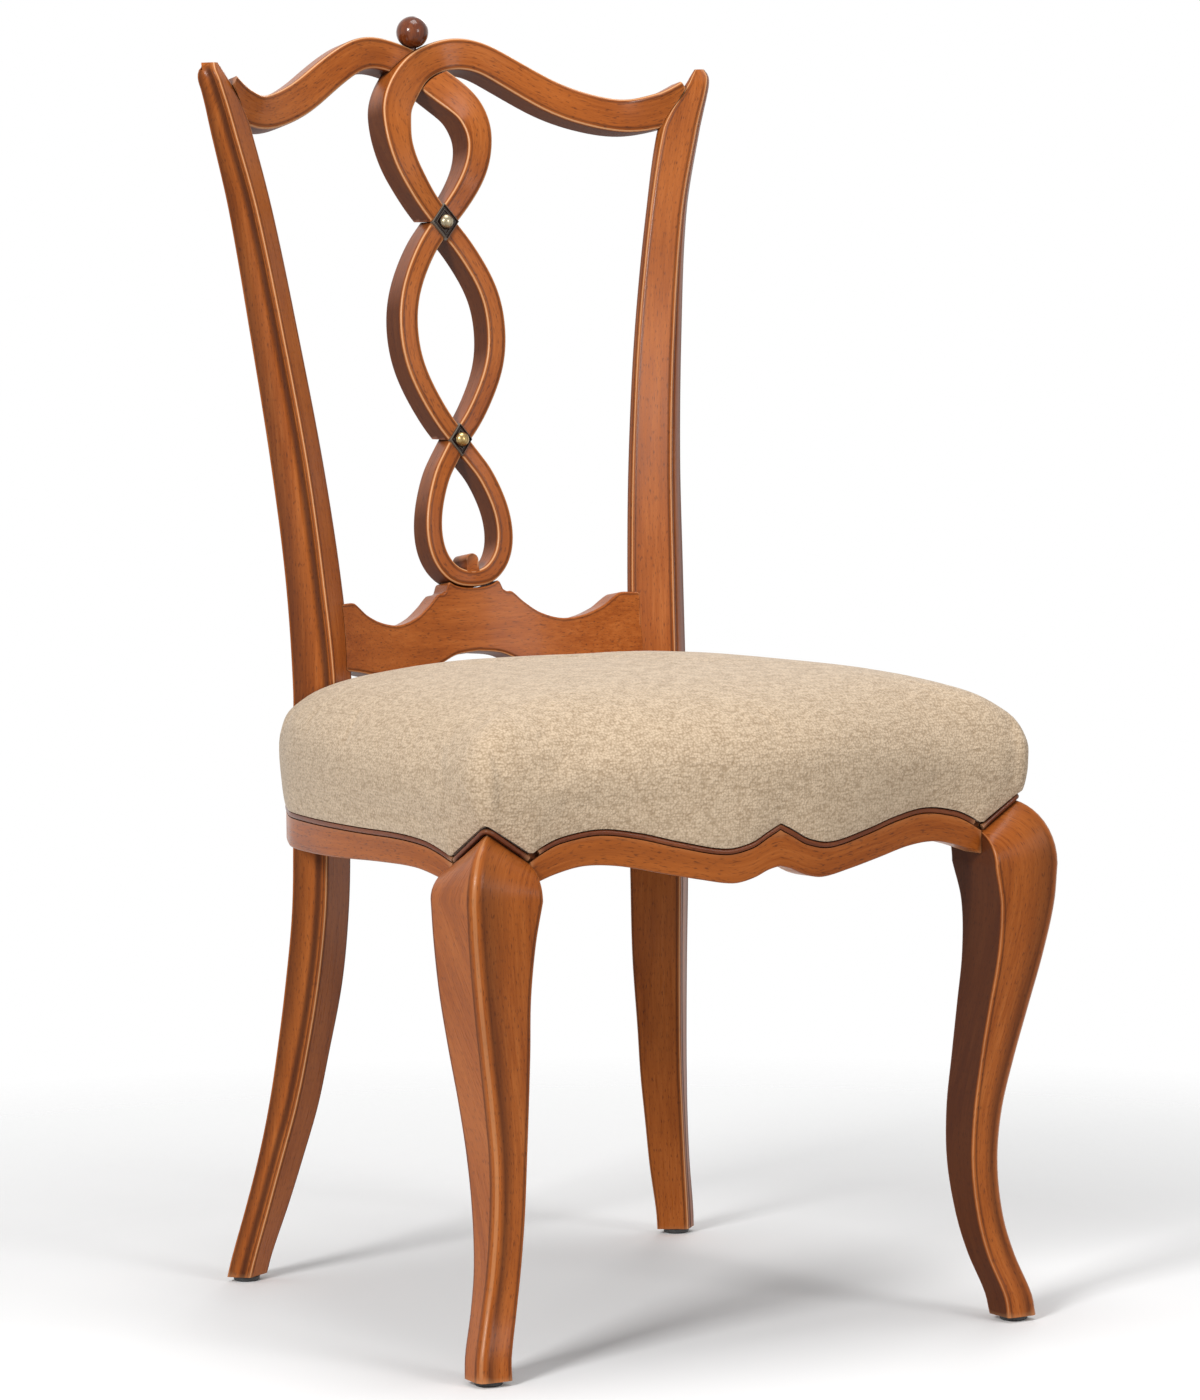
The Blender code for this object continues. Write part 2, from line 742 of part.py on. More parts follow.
def post_ring(z, side):
    radii = [POST_EDGE_RADIUS] * 2 + [POST_BACK_RADIUS] * 3
    plan = rounded(post_plan(z), radii) + cove_points(z)
    return [mirrored((p.x, p.y, z), side) for p in plan]


def cove_points(z):
    corners = post_plan(z)
    back = (corners[-1] - corners[0]).normalized()
    inwards = (corners[1] - corners[0]).normalized()
    depth = POST_COVE_DEPTH * through(POST_COVE_Z, z)[0]
    made = []
    for distance, share in POST_COVE:
        made.append(corners[0] + back * distance + inwards * depth * share)
    return made


def rear_post(label, side):
    rings = [post_ring(z, side) for z in post_levels()]
    return loft(f"rear_post_{label}", rings, "wood")


def post_cutter(name, side, low, high, behind=0.0, beyond=0.0):
    """The post's outline with the gap, reaching further behind, or in front and outside."""
    rings = []
    for z in [low] + [z for z in post_levels() if low < z < high] + [high]:
        plan = post_plan(z, GAP, behind, beyond)
        rings.append([mirrored((p.x, p.y, z), side) for p in plan])
    return loft(name, rings)


# Plan of the seat

def front_face(x):
    reach = FRONT_RAIL_HALF + BOW_MARGIN
    return FRONT_FACE_Y - FRONT_BOW * math.cos(math.pi * x / reach)


def side_face(y):
    front = LEG_BLOCK_X + REBATE
    share = (y - LEG_BLOCK_BACK_Y) / (SIDE_REAR_Y - LEG_BLOCK_BACK_Y)
    return front + (SIDE_REAR_X - front) * share + through(SIDE_FACE, y)[0]


def rear_face(x):
    return REAR_RAIL_Y + REAR_RAIL_BOW * (1 - (x / REAR_CORNER_X) ** 2)


def bead_lift(rows, at, reach=1):
    """Half the bead's room, measured upright, where its line slopes."""
    step = 0.002 / reach
    slope = (through(rows, at + step)[0] - through(rows, at - step)[0]) / (2 * step * reach)
    return (BEAD_RADIUS + GAP) * math.hypot(1, slope)


def front_spot(x):
    """Point of the front rail's show line, direction into the seat, and heights."""
    step = 0.001
    slope = (front_face(x + step) - front_face(x - step)) / (2 * step)
    share = abs(x) / FRONT_RAIL_HALF
    return (Vector((x, front_face(x))), Vector((-slope, 1)).normalized(),
            through(FRONT_BEAD, share)[0], bead_lift(FRONT_BEAD, share, FRONT_RAIL_HALF),
            through(FRONT_EDGE, share)[0])


def side_spot(y, side=1):
    step = 0.001
    slope = (side_face(y + step) - side_face(y - step)) / (2 * step)
    inwards = Vector((-1, slope)).normalized()
    return (Vector((side_face(y) * side, y)), Vector((inwards.x * side, inwards.y)),
            through(SIDE_BEAD, y)[0], bead_lift(SIDE_BEAD, y), through(SIDE_EDGE, y)[0])


def rear_spot(x):
    slope = -2 * REAR_RAIL_BOW * x / REAR_CORNER_X ** 2
    return (Vector((x, rear_face(x))), Vector((slope, -1)).normalized(),
            SIDE_BEAD[-1][1], BEAD_RADIUS + GAP, SIDE_EDGE[-1][1])


def squared(spots, direction, ends=(0, -1)):
    """Turns the end sections of a rail to lie flat on what it meets."""
    for end in ends:
        spots[end] = (spots[end][0], Vector(direction), *spots[end][2:])
    return spots


def front_path():
    half = FRONT_RAIL_HALF - GAP
    return squared([front_spot(x) for x in spread(-half, half, FRONT_STEPS)], (0, 1))


def side_path(side):
    ys = spread(LEG_BLOCK_BACK_Y + GAP, SIDE_RAIL_END, SIDE_STEPS)
    return squared([side_spot(y, side) for y in ys], (-side, 0), (0,))


def rear_path():
    half = post_plan(TENON_LOW)[1].x + REAR_RAIL_LAP
    return [rear_spot(x) for x in spread(-half, half, 17)]


def inside(spot, slack=2 * GAP):
    """The point of a rail's inner face, a little further in."""
    return spot[0] + spot[1] * (RAIL_THICK + slack)


# Seat rails: the show face up to the bead's shelf, a rebate for the fabric above it

def rail_ring(spot):
    face, inwards, bead, lift, edge = spot
    shelf = bead - lift
    r = RAIL_EDGE_RADIUS
    section = (
        (r, edge), (0.3 * r, edge + 0.3 * r), (0, edge + r), (0, shelf),
        (REBATE, shelf), (REBATE, FRAME_TOP), (RAIL_THICK, FRAME_TOP),
        (RAIL_THICK, edge),
    )
    ring = []
    for inset, z in section:
        p = face + inwards * inset
        ring.append(Vector((p.x, p.y, z)))
    return ring


def bead_points(path):
    inset = REBATE - BEAD_RADIUS - GAP
    made = []
    for face, inwards, height, _, _ in path:
        p = face + inwards * inset
        made.append(Vector((p.x, p.y, height)))
    return made


def bead(name, points):
    """A round moulding along a line of points."""
    curve = bpy.data.curves.new(name, "CURVE")
    curve.dimensions = "3D"
    curve.bevel_depth = BEAD_RADIUS
    curve.bevel_resolution = 2
    curve.use_fill_caps = True
    line = curve.splines.new("POLY")
    line.points.add(len(points) - 1)
    for knot, point in zip(line.points, points):
        knot.co = (*point, 1)
    made = bpy.data.objects.new(name, curve)
    place(made, "bead_wood")
    return made


def tenon(name, side, low, high, rail, holder):
    """A tenon joined to its rail, and its mortise in the piece that holds it."""
    boolean(rail, sided_box(name, side, low, high), "UNION")
    low = [value - GAP for value in low]
    high = [value + GAP for value in high]
    boolean(holder, sided_box(f"{name}_mortise", side, low, high))


def post_tenon(name, side, spans, heights, rail, post):
    """A tenon in a rear post, measured from the middle of the post's section."""
    heart = post_heart(sum(heights) / 2)
    start, end, front, back = spans
    tenon(name, side, (heart.x + start, heart.y + front, heights[0]),
          (heart.x + end, heart.y + back, heights[1]), rail, post)


def seat_rails(legs, posts):
    front = loft("front_rail", [rail_ring(s) for s in front_path()], "wood")
    bead("bead_front", bead_points(front_path())[1:-1])
    rear = loft("rear_seat_rail", [rail_ring(s) for s in rear_path()], "wood")
    end = post_plan(SIDE_BEAD[-1][1])[1].x - GAP
    bead("bead_rear", bead_points([rear_spot(x) for x in spread(-end, end, 15)]))
    for label, side in SIDES:
        end = FRONT_RAIL_HALF
        y = front_face(end) + REBATE + 0.003
        tenon(f"front_tenon_{label}", side, (end - 0.004, y, TENON_LOW),
              (end + TENON_LENGTH, y + TENON_THICK, TENON_HIGH), front, legs[label])

        path = side_path(side)
        rail = loft(f"side_rail_{label}", [rail_ring(s) for s in path], "wood")
        bead(f"bead_side_{label}", bead_points(path)[:-1])
        boolean(rail, post_cutter(f"side_lap_{label}", side, 0.34, 0.45, 0.05))
        x, y = LEG_BLOCK_X - 0.003, LEG_BLOCK_BACK_Y
        tenon(f"side_tenon_{label}", side, (x - TENON_THICK, y - TENON_LENGTH, TENON_LOW),
              (x, y + 0.006, TENON_HIGH), rail, legs[label])
        post_tenon(f"side_rear_tenon_{label}", side, SIDE_REAR_TENON,
                   (TENON_LOW, TENON_HIGH), rail, posts[label])

        shoulder = post_cutter(f"rear_shoulder_{label}", side, 0.34, 0.45)
        boolean(rear, shoulder)
        post_tenon(f"rear_tenon_{label}", side, REAR_TENON, (TENON_LOW, TENON_HIGH),
                   rear, posts[label])


# Back: ribbons of rounded section that lean back together

def stations(rows, low, high):
    """Ribbon rows with their shares made heights."""
    return [(x, y, low + share * (high - low), width, depth)
            for x, y, share, width, depth in rows]


def crest_stations(side):
    """The left crest's face is set back where the right one passes over it."""
    rows = []
    for x, y, share, width, depth in CREST_RIBBON:
        under = 0
        if side < 0 and share > CREST_UNDER_SHARE:
            under = through(CREST_UNDER, x)[0]
        rows.append((x, y + under, share, width, depth - under))
    return stations(rows, UPPER_CROSSING_Z, CREST_END_Z)


def lap_distance(point):
    """How far a point lies behind the plane where the two crests are lapped."""
    return (point[1] - LAP_Y) * RAKE_COSINE - (point[2] - CREST_CROSSING_Z) * RAKE_SINE


def ribbon_rings(rows, side=1, slab=None):
    """Sections along a ribbon. A slab gives it square edges, between two distances
    from the lap's plane, and grows it by the gap."""
    path = spline(rows, RIBBON_STEPS)
    last = len(path) - 1
    rings = []
    for i, (x, y, z, width, depth) in enumerate(path):
        before, after = path[max(i - 1, 0)], path[min(i + 1, last)]
        along = Vector((after[0] - before[0], after[2] - before[2])).normalized()
        half, start, end = width / 2, 0, depth
        if slab:
            seat = lap_distance((x, y, z))
            half, start, end = half + GAP, slab[0] - seat, slab[1] - seat
        section = [Vector((-half, start)), Vector((half, start)),
                   Vector((half, end)), Vector((-half, end))]
        if not slab:
            section = rounded(section, [RIBBON_FRONT_RADIUS] * 2 + [RIBBON_BACK_RADIUS] * 2)
        rings.append([
            leaning((x, y, z), -along.y * across, along.x * across, deep, side)
            for across, deep in section
        ])
    return rings


def trim(name, low_x, high_x, low_z, high_z):
    """A box that reaches through the back from front to rear."""
    return box(name, (low_x, TRIM_Y[0], low_z), (high_x, TRIM_Y[1], high_z))


def crossing_trim(name, z, above):
    """Takes a strand's end back to the crossing's level, where it meets the next one."""
    if above:
        return trim(name, -TRIM_REACH, TRIM_REACH, z - TRIM_REACH, z + GAP / 2)
    return trim(name, -TRIM_REACH, TRIM_REACH, z - GAP / 2, z + TRIM_REACH)


def side_trim(name, side, low, high):
    """Takes away what reaches over the middle plane near a crossing."""
    if side > 0:
        return trim(name, -TRIM_REACH, GAP / 2, low, high)
    return trim(name, -GAP / 2, TRIM_REACH, low, high)


def crests(posts):
    """Both crest rails, half-lapped where they cross above the upper loop."""
    made = {}
    for label, side in (("right", 1), ("left", -1)):
        crest = loft(f"crest_rail_{label}", ribbon_rings(crest_stations(side), side), "wood")
        boolean(crest, crossing_trim(f"crest_end_{label}", UPPER_CROSSING_Z, True))
        boolean(crest, side_trim(f"crest_mitre_{label}", -side, UPPER_CROSSING_Z - MITRE_REACH,
                                 UPPER_CROSSING_Z + MITRE_REACH))
        boolean(crest, post_cutter(f"crest_shoulder_{label}", side, *CREST_SHOULDER_Z,
                                   SHOULDER_REACH, SHOULDER_REACH))
        post_tenon(f"crest_tenon_{label}", side, CREST_TENON, CREST_TENON_Z, crest,
                   posts[label])
        made[label] = crest
    boolean(made["left"], lap_cutter("lap_front", 1, -LAP_REACH, GAP / 2))
    boolean(made["right"], lap_cutter("lap_back", -1, -GAP / 2, LAP_REACH))
    return made


def lap_cutter(name, side, start, end):
    """The part of one crest that the other is cut by, on one side of the lap's plane."""
    return loft(name, ribbon_rings(crest_stations(side)[5:13], side, (start, end)))


def middle_strands():
    made = {}
    rows = stations(MIDDLE_RIBBON, LOWER_CROSSING_Z, UPPER_CROSSING_Z)
    for label, side in (("left", 1), ("right", -1)):
        strand = loft(f"splat_middle_{label}", ribbon_rings(rows, side), "wood")
        boolean(strand, crossing_trim(f"middle_top_{label}", UPPER_CROSSING_Z, False))
        boolean(strand, crossing_trim(f"middle_end_{label}", LOWER_CROSSING_Z, True))
        boolean(strand, side_trim(f"middle_mitre_{label}", -side,
                                  LOWER_CROSSING_Z - MITRE_REACH, UPPER_CROSSING_Z + MITRE_REACH))
        made[label] = strand
    return made


def lower_loop():
    rows = stations(LOWER_RIBBON, LOOP_FOOT_Z, LOWER_CROSSING_Z)
    loop = loft("splat_lower_loop", ribbon_rings(rows), "wood")
    boolean(loop, crossing_trim("loop_top", LOWER_CROSSING_Z, False))
    mirror = loop.modifiers.new("right_half", "MIRROR")
    mirror.use_bisect_axis = (True, False, False)
    mirror.use_bisect_flip_axis = (True, False, False)
    mirror.merge_threshold = 0.00005
    x, front, foot, _, depth = rows[-2]
    origin = (x, front, foot)
    outline = [(-NUB_RADIUS, 0), (NUB_RADIUS, 0)]
    for i in range(NUB_STEPS + 1):
        turn = math.pi * i / NUB_STEPS
        outline.append((NUB_RADIUS * math.cos(turn), NUB_RISE + NUB_RADIUS * math.sin(turn)))
    nub = [[leaning(origin, across, up, deep) for across, up in outline]
           for deep in (NUB_SET_BACK, depth - NUB_SET_BACK)]
    boolean(loop, loft("loop_nub", nub), "UNION")
    return loop


def cross_rail(posts):
    half = CROSS_TOP[-1][0]
    xs = sorted({s * x for s in (-1, 1) for x in
                 [row[0] for row in CROSS_TOP] + spread(0, half, 17)})
    middle = CROSS_TOP[0][1]
    rings = []
    for x in xs:
        face = (x, CROSS_Y - CROSS_BOW * x * x, middle)
        low = (through(CROSS_BOTTOM, abs(x))[0] - middle) / RAKE_COSINE
        high = (through(CROSS_TOP, abs(x))[0] - middle) / RAKE_COSINE
        corners = [Vector((0, low)), Vector((CROSS_DEPTH, low)),
                   Vector((CROSS_DEPTH, high)), Vector((0, high))]
        rings.append([leaning(face, 0, p.y, p.x)
                      for p in rounded(corners, [CROSS_EDGE_RADIUS] * 4)])
    rail = loft("back_cross_rail", rings, "wood")
    for label, side in SIDES:
        boolean(rail, post_cutter(f"cross_shoulder_{label}", side, *CROSS_SHOULDER_Z))
        post_tenon(f"cross_tenon_{label}", side, CROSS_TENON, CROSS_TENON_Z, rail,
                   posts[label])
    return rail


def loop_dowel(loop, rail):
    y = CROSS_Y + CROSS_DEPTH / 2
    low, high = DOWEL_Z
    rod("loop_dowel", (0, y, low), (0, y, high), DOWEL_RADIUS, "block_wood")
    hole = rod("loop_dowel_hole", (0, y, low - GAP), (0, y, high + GAP), DOWEL_RADIUS + GAP)
    for piece in (loop, rail):
        boolean(piece, hole)


def lozenge(halves, inset, centre, deep):
    wide, high = halves
    share = 1 - inset / wide
    return [leaning(centre, wide * share * x, high * share * up, deep)
            for x, up in ((1, 0), (0, 1), (-1, 0), (0, -1))]


def crossing_boss(name, centre, halves, strands):
    """A lozenge with a domed stud, whose shank goes into the crossing behind it."""
    face = DIAMOND_SUNK - DIAMOND_THICK
    levels = ((DIAMOND_SUNK, 0), (face + DIAMOND_EDGE, 0), (face, DIAMOND_EDGE))
    plate = loft(f"diamond_{name}", [lozenge(halves, inset, centre, deep)
                                     for deep, inset in levels], "ebonised")
    recess = loft(f"diamond_recess_{name}",
                  [lozenge(halves, -GAP, centre, DIAMOND_SUNK + GAP),
                   lozenge(halves, -GAP, centre, -LAP_REACH)])
    for piece in strands:
        boolean(piece, recess)

    radius = STUD_SHANK_RADIUS
    dome = []
    for i in range(6):
        turn = math.pi / 2 * i / 5
        dome.append((STUD_RADIUS * math.sin(turn), STUD_RISE * math.cos(turn)))
    dome[0] = (0, STUD_RISE)
    profile = dome + [(radius, 0), (radius, -STUD_SHANK_LENGTH), (0, -STUD_SHANK_LENGTH)]
    seat = leaning(centre, 0, 0, face - GAP)
    forwards = leaning((0, 0, 0), 0, 0, -1)
    turned(f"stud_{name}", profile, seat, forwards, "bronze")
    hole = rod(f"stud_hole_{name}", seat + forwards * GAP,
               seat - forwards * (STUD_SHANK_LENGTH + GAP), radius + GAP)
    for piece in [plate, *strands]:
        boolean(piece, hole)


def half_turn(radius, steps):
    """Profile of a sphere, from its top down to its foot."""
    made = [(0, radius)]
    for i in range(1, steps):
        turn = math.pi * i / steps
        made.append((radius * math.sin(turn), radius * math.cos(turn)))
    return made


def ball(crest_pair):
    """The ball in its cupped seat on the crossing of the crests."""
    centre = (0, BALL_Y, CREST_CROSSING_Z + BALL_RISE)
    low = BALL_STEM_BITE - BALL_RISE
    profile = half_turn(BALL_RADIUS, 12)
    foot = -math.sqrt(BALL_RADIUS ** 2 - BALL_STEM_RADIUS ** 2)
    profile = [point for point in profile if point[1] > foot]
    profile += [(BALL_STEM_RADIUS, foot), (BALL_STEM_RADIUS, low), (0, low)]
    turned("ball_finial", profile, centre, (0, 0, 1), "cherry")
    seat = turned("ball_seat", half_turn(BALL_RADIUS + GAP, 12) + [(0, -BALL_RADIUS - GAP)],
                  centre, (0, 0, 1))
    hole = rod("ball_hole", (0, BALL_Y, CREST_CROSSING_Z + BALL_STEM_BITE - GAP), centre,
               BALL_STEM_RADIUS + GAP)
    for piece in crest_pair:
        boolean(piece, seat)
        boolean(piece, hole)


# Seat

def seat_outline():
    """Show line of the whole seat with outward directions and the covering's lower edge."""
    half = []
    for spot in front_path()[FRONT_STEPS // 2:]:
        half.append((spot[0], spot[2] + spot[3]))
    x, y = LEG_BLOCK_X + REBATE, front_face(FRONT_RAIL_HALF)
    back = LEG_BLOCK_BACK_Y
    for inset in (0.022, 0.010):
        share = 1 - inset / (x - FRONT_RAIL_HALF)
        half.append((Vector((x - inset, y)), cap_height(share, 0) + CAP_LIFT + 2 * GAP))
    half.append((Vector((x - 0.001, y + 0.001)), CAP_TIP_Z + CAP_LIFT + GAP))
    for inset in (0.012, 0.030):
        half.append((Vector((x, y + inset)),
                     cap_height(1, inset / (back - y)) + CAP_LIFT + GAP))
    for spot in side_path(1) + [side_spot(SIDE_RAIL_END + 0.004)]:
        half.append((spot[0], spot[2] + spot[3]))
    for x in spread(0.162, 0.0, 6):
        half.append((Vector((x, rear_face(x))), SIDE_BEAD[-1][1] + BEAD_RADIUS + GAP))
    left = [(Vector((-p.x, p.y)), z) for p, z in reversed(half[1:-1])]
    line = half + left
    made = []
    count = len(line)
    for i, (p, z) in enumerate(line):
        along = (line[(i + 1) % count][0] - line[i - 1][0]).normalized()
        made.append((p, Vector((along.y, -along.x)), z))
    return made


def seat_cushion():
    outline = seat_outline()
    rings = []
    floor = FRAME_TOP + STRAP_THICK + 2 * GAP

    centre = Vector((0, SEAT_CENTRE_Y))

    def ring(offset, heights):
        made = []
        for (p, n, _), z in zip(outline, heights):
            inwards = (centre - p).normalized() * max(-offset - RING_TURN, 0)
            reach = offset * through(CUSHION_FULL, p.y)[0] if offset > 0 else offset
            p = p + n * max(reach, -RING_TURN) + inwards
            made.append(Vector((p.x, p.y, z)))
        return made

    inner = CUSHION_SIDE[0][0]
    rings.append(ring(inner, [floor] * len(outline)))
    for offset, rise in CUSHION_SIDE:
        rings.append(ring(offset, [min(z + rise, CUSHION_WAIST_Z) for _, _, z in outline]))
    for offset, z in CUSHION_SHOULDER:
        rings.append(ring(offset, [z] * len(outline)))
    edge_z = CUSHION_SHOULDER[-1][1]
    rim = [p.xy for p in rings[-1]]
    for share in CROWN_SHARES:
        z = edge_z + (CROWN_Z - edge_z) * (1 - share ** 2)
        rings.append([Vector((*centre.lerp(p, share), z)) for p in rim])
    for level in rings[-len(CROWN_SHARES) - 2:]:
        for point in level:
            point.z -= through(CUSHION_FALL, point.y)[0]
    cushion = loft("seat_cushion", rings, "fabric")
    for label, side in SIDES:
        boolean(cushion, post_cutter(f"cushion_notch_{label}", side, *CUSHION_NOTCH_Z,
                                    NOTCH_REACH))
    return cushion


# Under the seat

def corner_block(label, side, outline, screws, holder, cutter=None):
    """A block screwed into the leg or post; screws gives their line's two points."""
    name = f"corner_block_{label}"
    plan = [(p.x * side, p.y) for p in outline]
    block = prism(name, plan, BLOCK_BOTTOM, BLOCK_TOP, "block_wood")
    if cutter:
        boolean(block, cutter)
    foot, target = screws
    run = (target - foot).normalized()
    length = (target - foot).length + SCREW_BITE
    head, radius = SCREW_HEAD_RADIUS, SCREW_RADIUS
    profile = [(0, length), (radius, length), (radius, -GAP), (head, -GAP),
               (0.7 * head, -SCREW_HEAD_THICK - GAP), (0, -SCREW_HEAD_THICK - GAP)]
    for level, z in SCREW_HEIGHTS:
        start = mirrored((foot.x, foot.y, z), side)
        axis = mirrored((run.x, run.y, 0), side)
        turned(f"screw_{label}_{level}", profile, start, axis, "steel", 12)
        hole = rod(f"{name}_{level}_hole", start - axis * 0.002,
                   start + axis * (length + GAP), radius + GAP)
        for piece in (block, holder):
            boolean(piece, hole)


def screw_line(low, high, target):
    """From the middle face of a corner block, squarely to a target in its corner."""
    along = (high - low).normalized()
    foot = low + along * (target - low).dot(along)
    return foot, target


def corner_blocks(legs, posts):
    leg_side, leg_back = FRONT_RAIL_HALF - GAP, LEG_BLOCK_BACK_Y + GAP
    near_x, near_y = leg_side - FRONT_BLOCK_REACH[0], leg_back + FRONT_BLOCK_REACH[1]
    front = [inside(front_spot(x)) for x in spread(near_x, leg_side - 0.002, 5)]
    flank = [inside(side_spot(y)) for y in spread(leg_back + 0.004, near_y, 4)]
    notch = [Vector((leg_side, front[-1].y)), Vector((leg_side, leg_back)),
             Vector((flank[0].x, leg_back))]
    front_outline = front + notch + flank
    front_screws = screw_line(front[0], flank[-1], Vector((leg_side, leg_back)))

    corner, inner = post_plan(BLOCK_BOTTOM)[:2]
    xs = spread(corner.x - REAR_BLOCK_START[0], corner.x - REAR_BLOCK_REACH[0], 3)
    ys = spread(corner.y - REAR_BLOCK_REACH[1], corner.y - REAR_BLOCK_START[1], 4)
    rear = [inside(rear_spot(x)) for x in xs]
    flank = [inside(side_spot(y)) for y in ys]
    rear_outline = flank + rear
    rear_screws = screw_line(rear[-1], flank[0], corner.lerp(inner, REAR_SCREW_SHARE))
    for label, side in SIDES:
        corner_block(f"front_{label}", side, front_outline, front_screws, legs[label])
        post = post_cutter(f"block_corner_{label}", side, *BLOCK_NOTCH_Z)
        corner_block(f"rear_{label}", side, rear_outline, rear_screws, posts[label], post)


def webbing():
    """Three straps each way, fused where they cross."""
    low, high = FRAME_TOP + GAP, FRAME_TOP + GAP + STRAP_THICK
    half = STRAP_WIDTH / 2
    lattice = None
    for i, x in enumerate(STRAP_X):
        edge = abs(x) + half
        start, end = front_face(edge) + STRAP_INSET, rear_face(edge) - STRAP_INSET
        ends = ((x - half, start, low), (x + half, end, high))
        if lattice:
            boolean(lattice, box(f"strap_long_{i}", *ends), "UNION")
        else:
            lattice = box("seat_webbing", *ends, "webbing")
    for i, y in enumerate(STRAP_Y):
        reach = min(side_face(y - half), side_face(y + half)) - STRAP_INSET
        boolean(lattice, box(f"strap_cross_{i}", (-reach, y - half, low),
                             (reach, y + half, high)), "UNION")


def dust_cover():
    leg_side, leg_back = FRONT_RAIL_HALF - COVER_INSET, LEG_BLOCK_BACK_Y + COVER_INSET
    slack = COVER_INSET
    corner, inner = post_plan(BLOCK_BOTTOM, COVER_INSET)[:2]
    side_end = corner.y - REAR_BLOCK_START[1]
    half = [inside(front_spot(x), slack) for x in spread(0, leg_side - 0.002, 10)]
    flank = [inside(side_spot(y), slack) for y in spread(leg_back + 0.004, side_end, 10)]
    half += [Vector((leg_side, half[-1].y)), Vector((leg_side, leg_back)),
             Vector((flank[0].x, leg_back))] + flank + [corner]
    rear = [inside(rear_spot(x), slack)
            for x in spread(corner.x - REAR_BLOCK_START[0], 0, 5)]
    half.append(corner.lerp(inner, (rear[0].y - corner.y) / (inner.y - corner.y)))
    half += rear
    outline = half + [Vector((-p.x, p.y)) for p in reversed(half[1:-1])]
    high = BLOCK_BOTTOM - GAP
    prism("dust_cover", outline, high - COVER_THICK, high, "lining")


# Glides

def glide(name, centre, holder):
    high = GLIDE_HEIGHT - GAP
    edge = GLIDE_EDGE
    profile = [(0, PIN_LENGTH), (PIN_RADIUS, PIN_LENGTH), (PIN_RADIUS, high),
               (GLIDE_RADIUS, high), (GLIDE_RADIUS, edge), (GLIDE_RADIUS - edge, 0), (0, 0)]
    start = Vector((centre.x, centre.y, 0))
    turned(f"glide_{name}", profile, start, (0, 0, 1), "glide", 20)
    hole = rod(f"glide_hole_{name}", start, start + Vector((0, 0, PIN_LENGTH + GAP)),
               PIN_RADIUS + GAP)
    boolean(holder, hole)


def glides(legs, posts):
    front = middle_of(front_leg_plan(GLIDE_HEIGHT))
    rear = post_heart(GLIDE_HEIGHT)
    for label, side in SIDES:
        glide(f"front_{label}", Vector((front.x * side, front.y)), legs[label])
        glide(f"rear_{label}", Vector((rear.x * side, rear.y)), posts[label])


# Assembly

def main():
    legs = {label: front_leg(label, side) for label, side in SIDES}
    posts = {label: rear_post(label, side) for label, side in SIDES}
    seat_rails(legs, posts)
    for label, side in SIDES:
        cap_bead(label, side)
    crest_pair = crests(posts)
    strands = middle_strands()
    loop = lower_loop()
    rail = cross_rail(posts)
    loop_dowel(loop, rail)
    upper = (0, MIDDLE_RIBBON[1][1], UPPER_CROSSING_Z)
    lower = (0, MIDDLE_RIBBON[-2][1], LOWER_CROSSING_Z)
    crossing_boss("upper", upper, UPPER_DIAMOND, [*crest_pair.values(), *strands.values()])
    crossing_boss("lower", lower, LOWER_DIAMOND, [*strands.values(), loop])
    ball(crest_pair.values())
    seat_cushion()
    webbing()
    corner_blocks(legs, posts)
    dust_cover()
    glides(legs, posts)


main()
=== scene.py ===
import math

import bmesh
import bpy
from mathutils import Matrix, Vector


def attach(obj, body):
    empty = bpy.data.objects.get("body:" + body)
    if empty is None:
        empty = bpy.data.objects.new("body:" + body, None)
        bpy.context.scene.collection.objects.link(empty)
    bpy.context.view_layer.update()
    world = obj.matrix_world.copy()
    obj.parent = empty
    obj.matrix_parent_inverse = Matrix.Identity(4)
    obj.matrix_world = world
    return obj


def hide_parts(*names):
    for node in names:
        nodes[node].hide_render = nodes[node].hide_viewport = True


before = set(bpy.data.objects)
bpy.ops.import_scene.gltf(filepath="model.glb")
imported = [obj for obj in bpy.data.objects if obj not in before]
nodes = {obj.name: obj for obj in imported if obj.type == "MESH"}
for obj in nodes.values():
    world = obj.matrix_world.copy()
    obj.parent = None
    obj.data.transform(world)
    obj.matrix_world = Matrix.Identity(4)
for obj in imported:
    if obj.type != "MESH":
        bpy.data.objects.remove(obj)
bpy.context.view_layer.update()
print("frame loaded:", len(nodes), "solids")

shadeLineWidth = 0.0015  # width of the painted shade line inside each edge

# Measures that several pieces share, in metres
chair = {
    "gap": 0.0003,
    "centring": -0.00978,
    "frameTop": 0.425,
    "frontRailHalf": 0.193,
    "legBlockX": 0.225,
    "legBlockBackY": -0.206,
    "rebate": 0.004,
    "beadRadius": 0.0022,
    "rake": 8,
    "crestEndZ": 0.9395,
    "upperCrossingZ": 0.8415,
    "lowerCrossingZ": 0.6662,
    "crestCrossing": 1.284,
    "shoulderReach": 0.01,
    "crestShoulderZ": (0.90, 0.98),
    "crossShoulderZ": (0.46, 0.60),
    "railNotchZ": (0.34, 0.45),
    "notchReach": 0.05,
}
gap = chair["gap"]
sides = (("left", -1), ("right", 1))


# Curves and sections

def middleOf(corners):
    return sum(corners, Vector((0, 0))) / len(corners)


def spread(low, high, count):
    return [low + (high - low) * i / (count - 1) for i in range(count)]


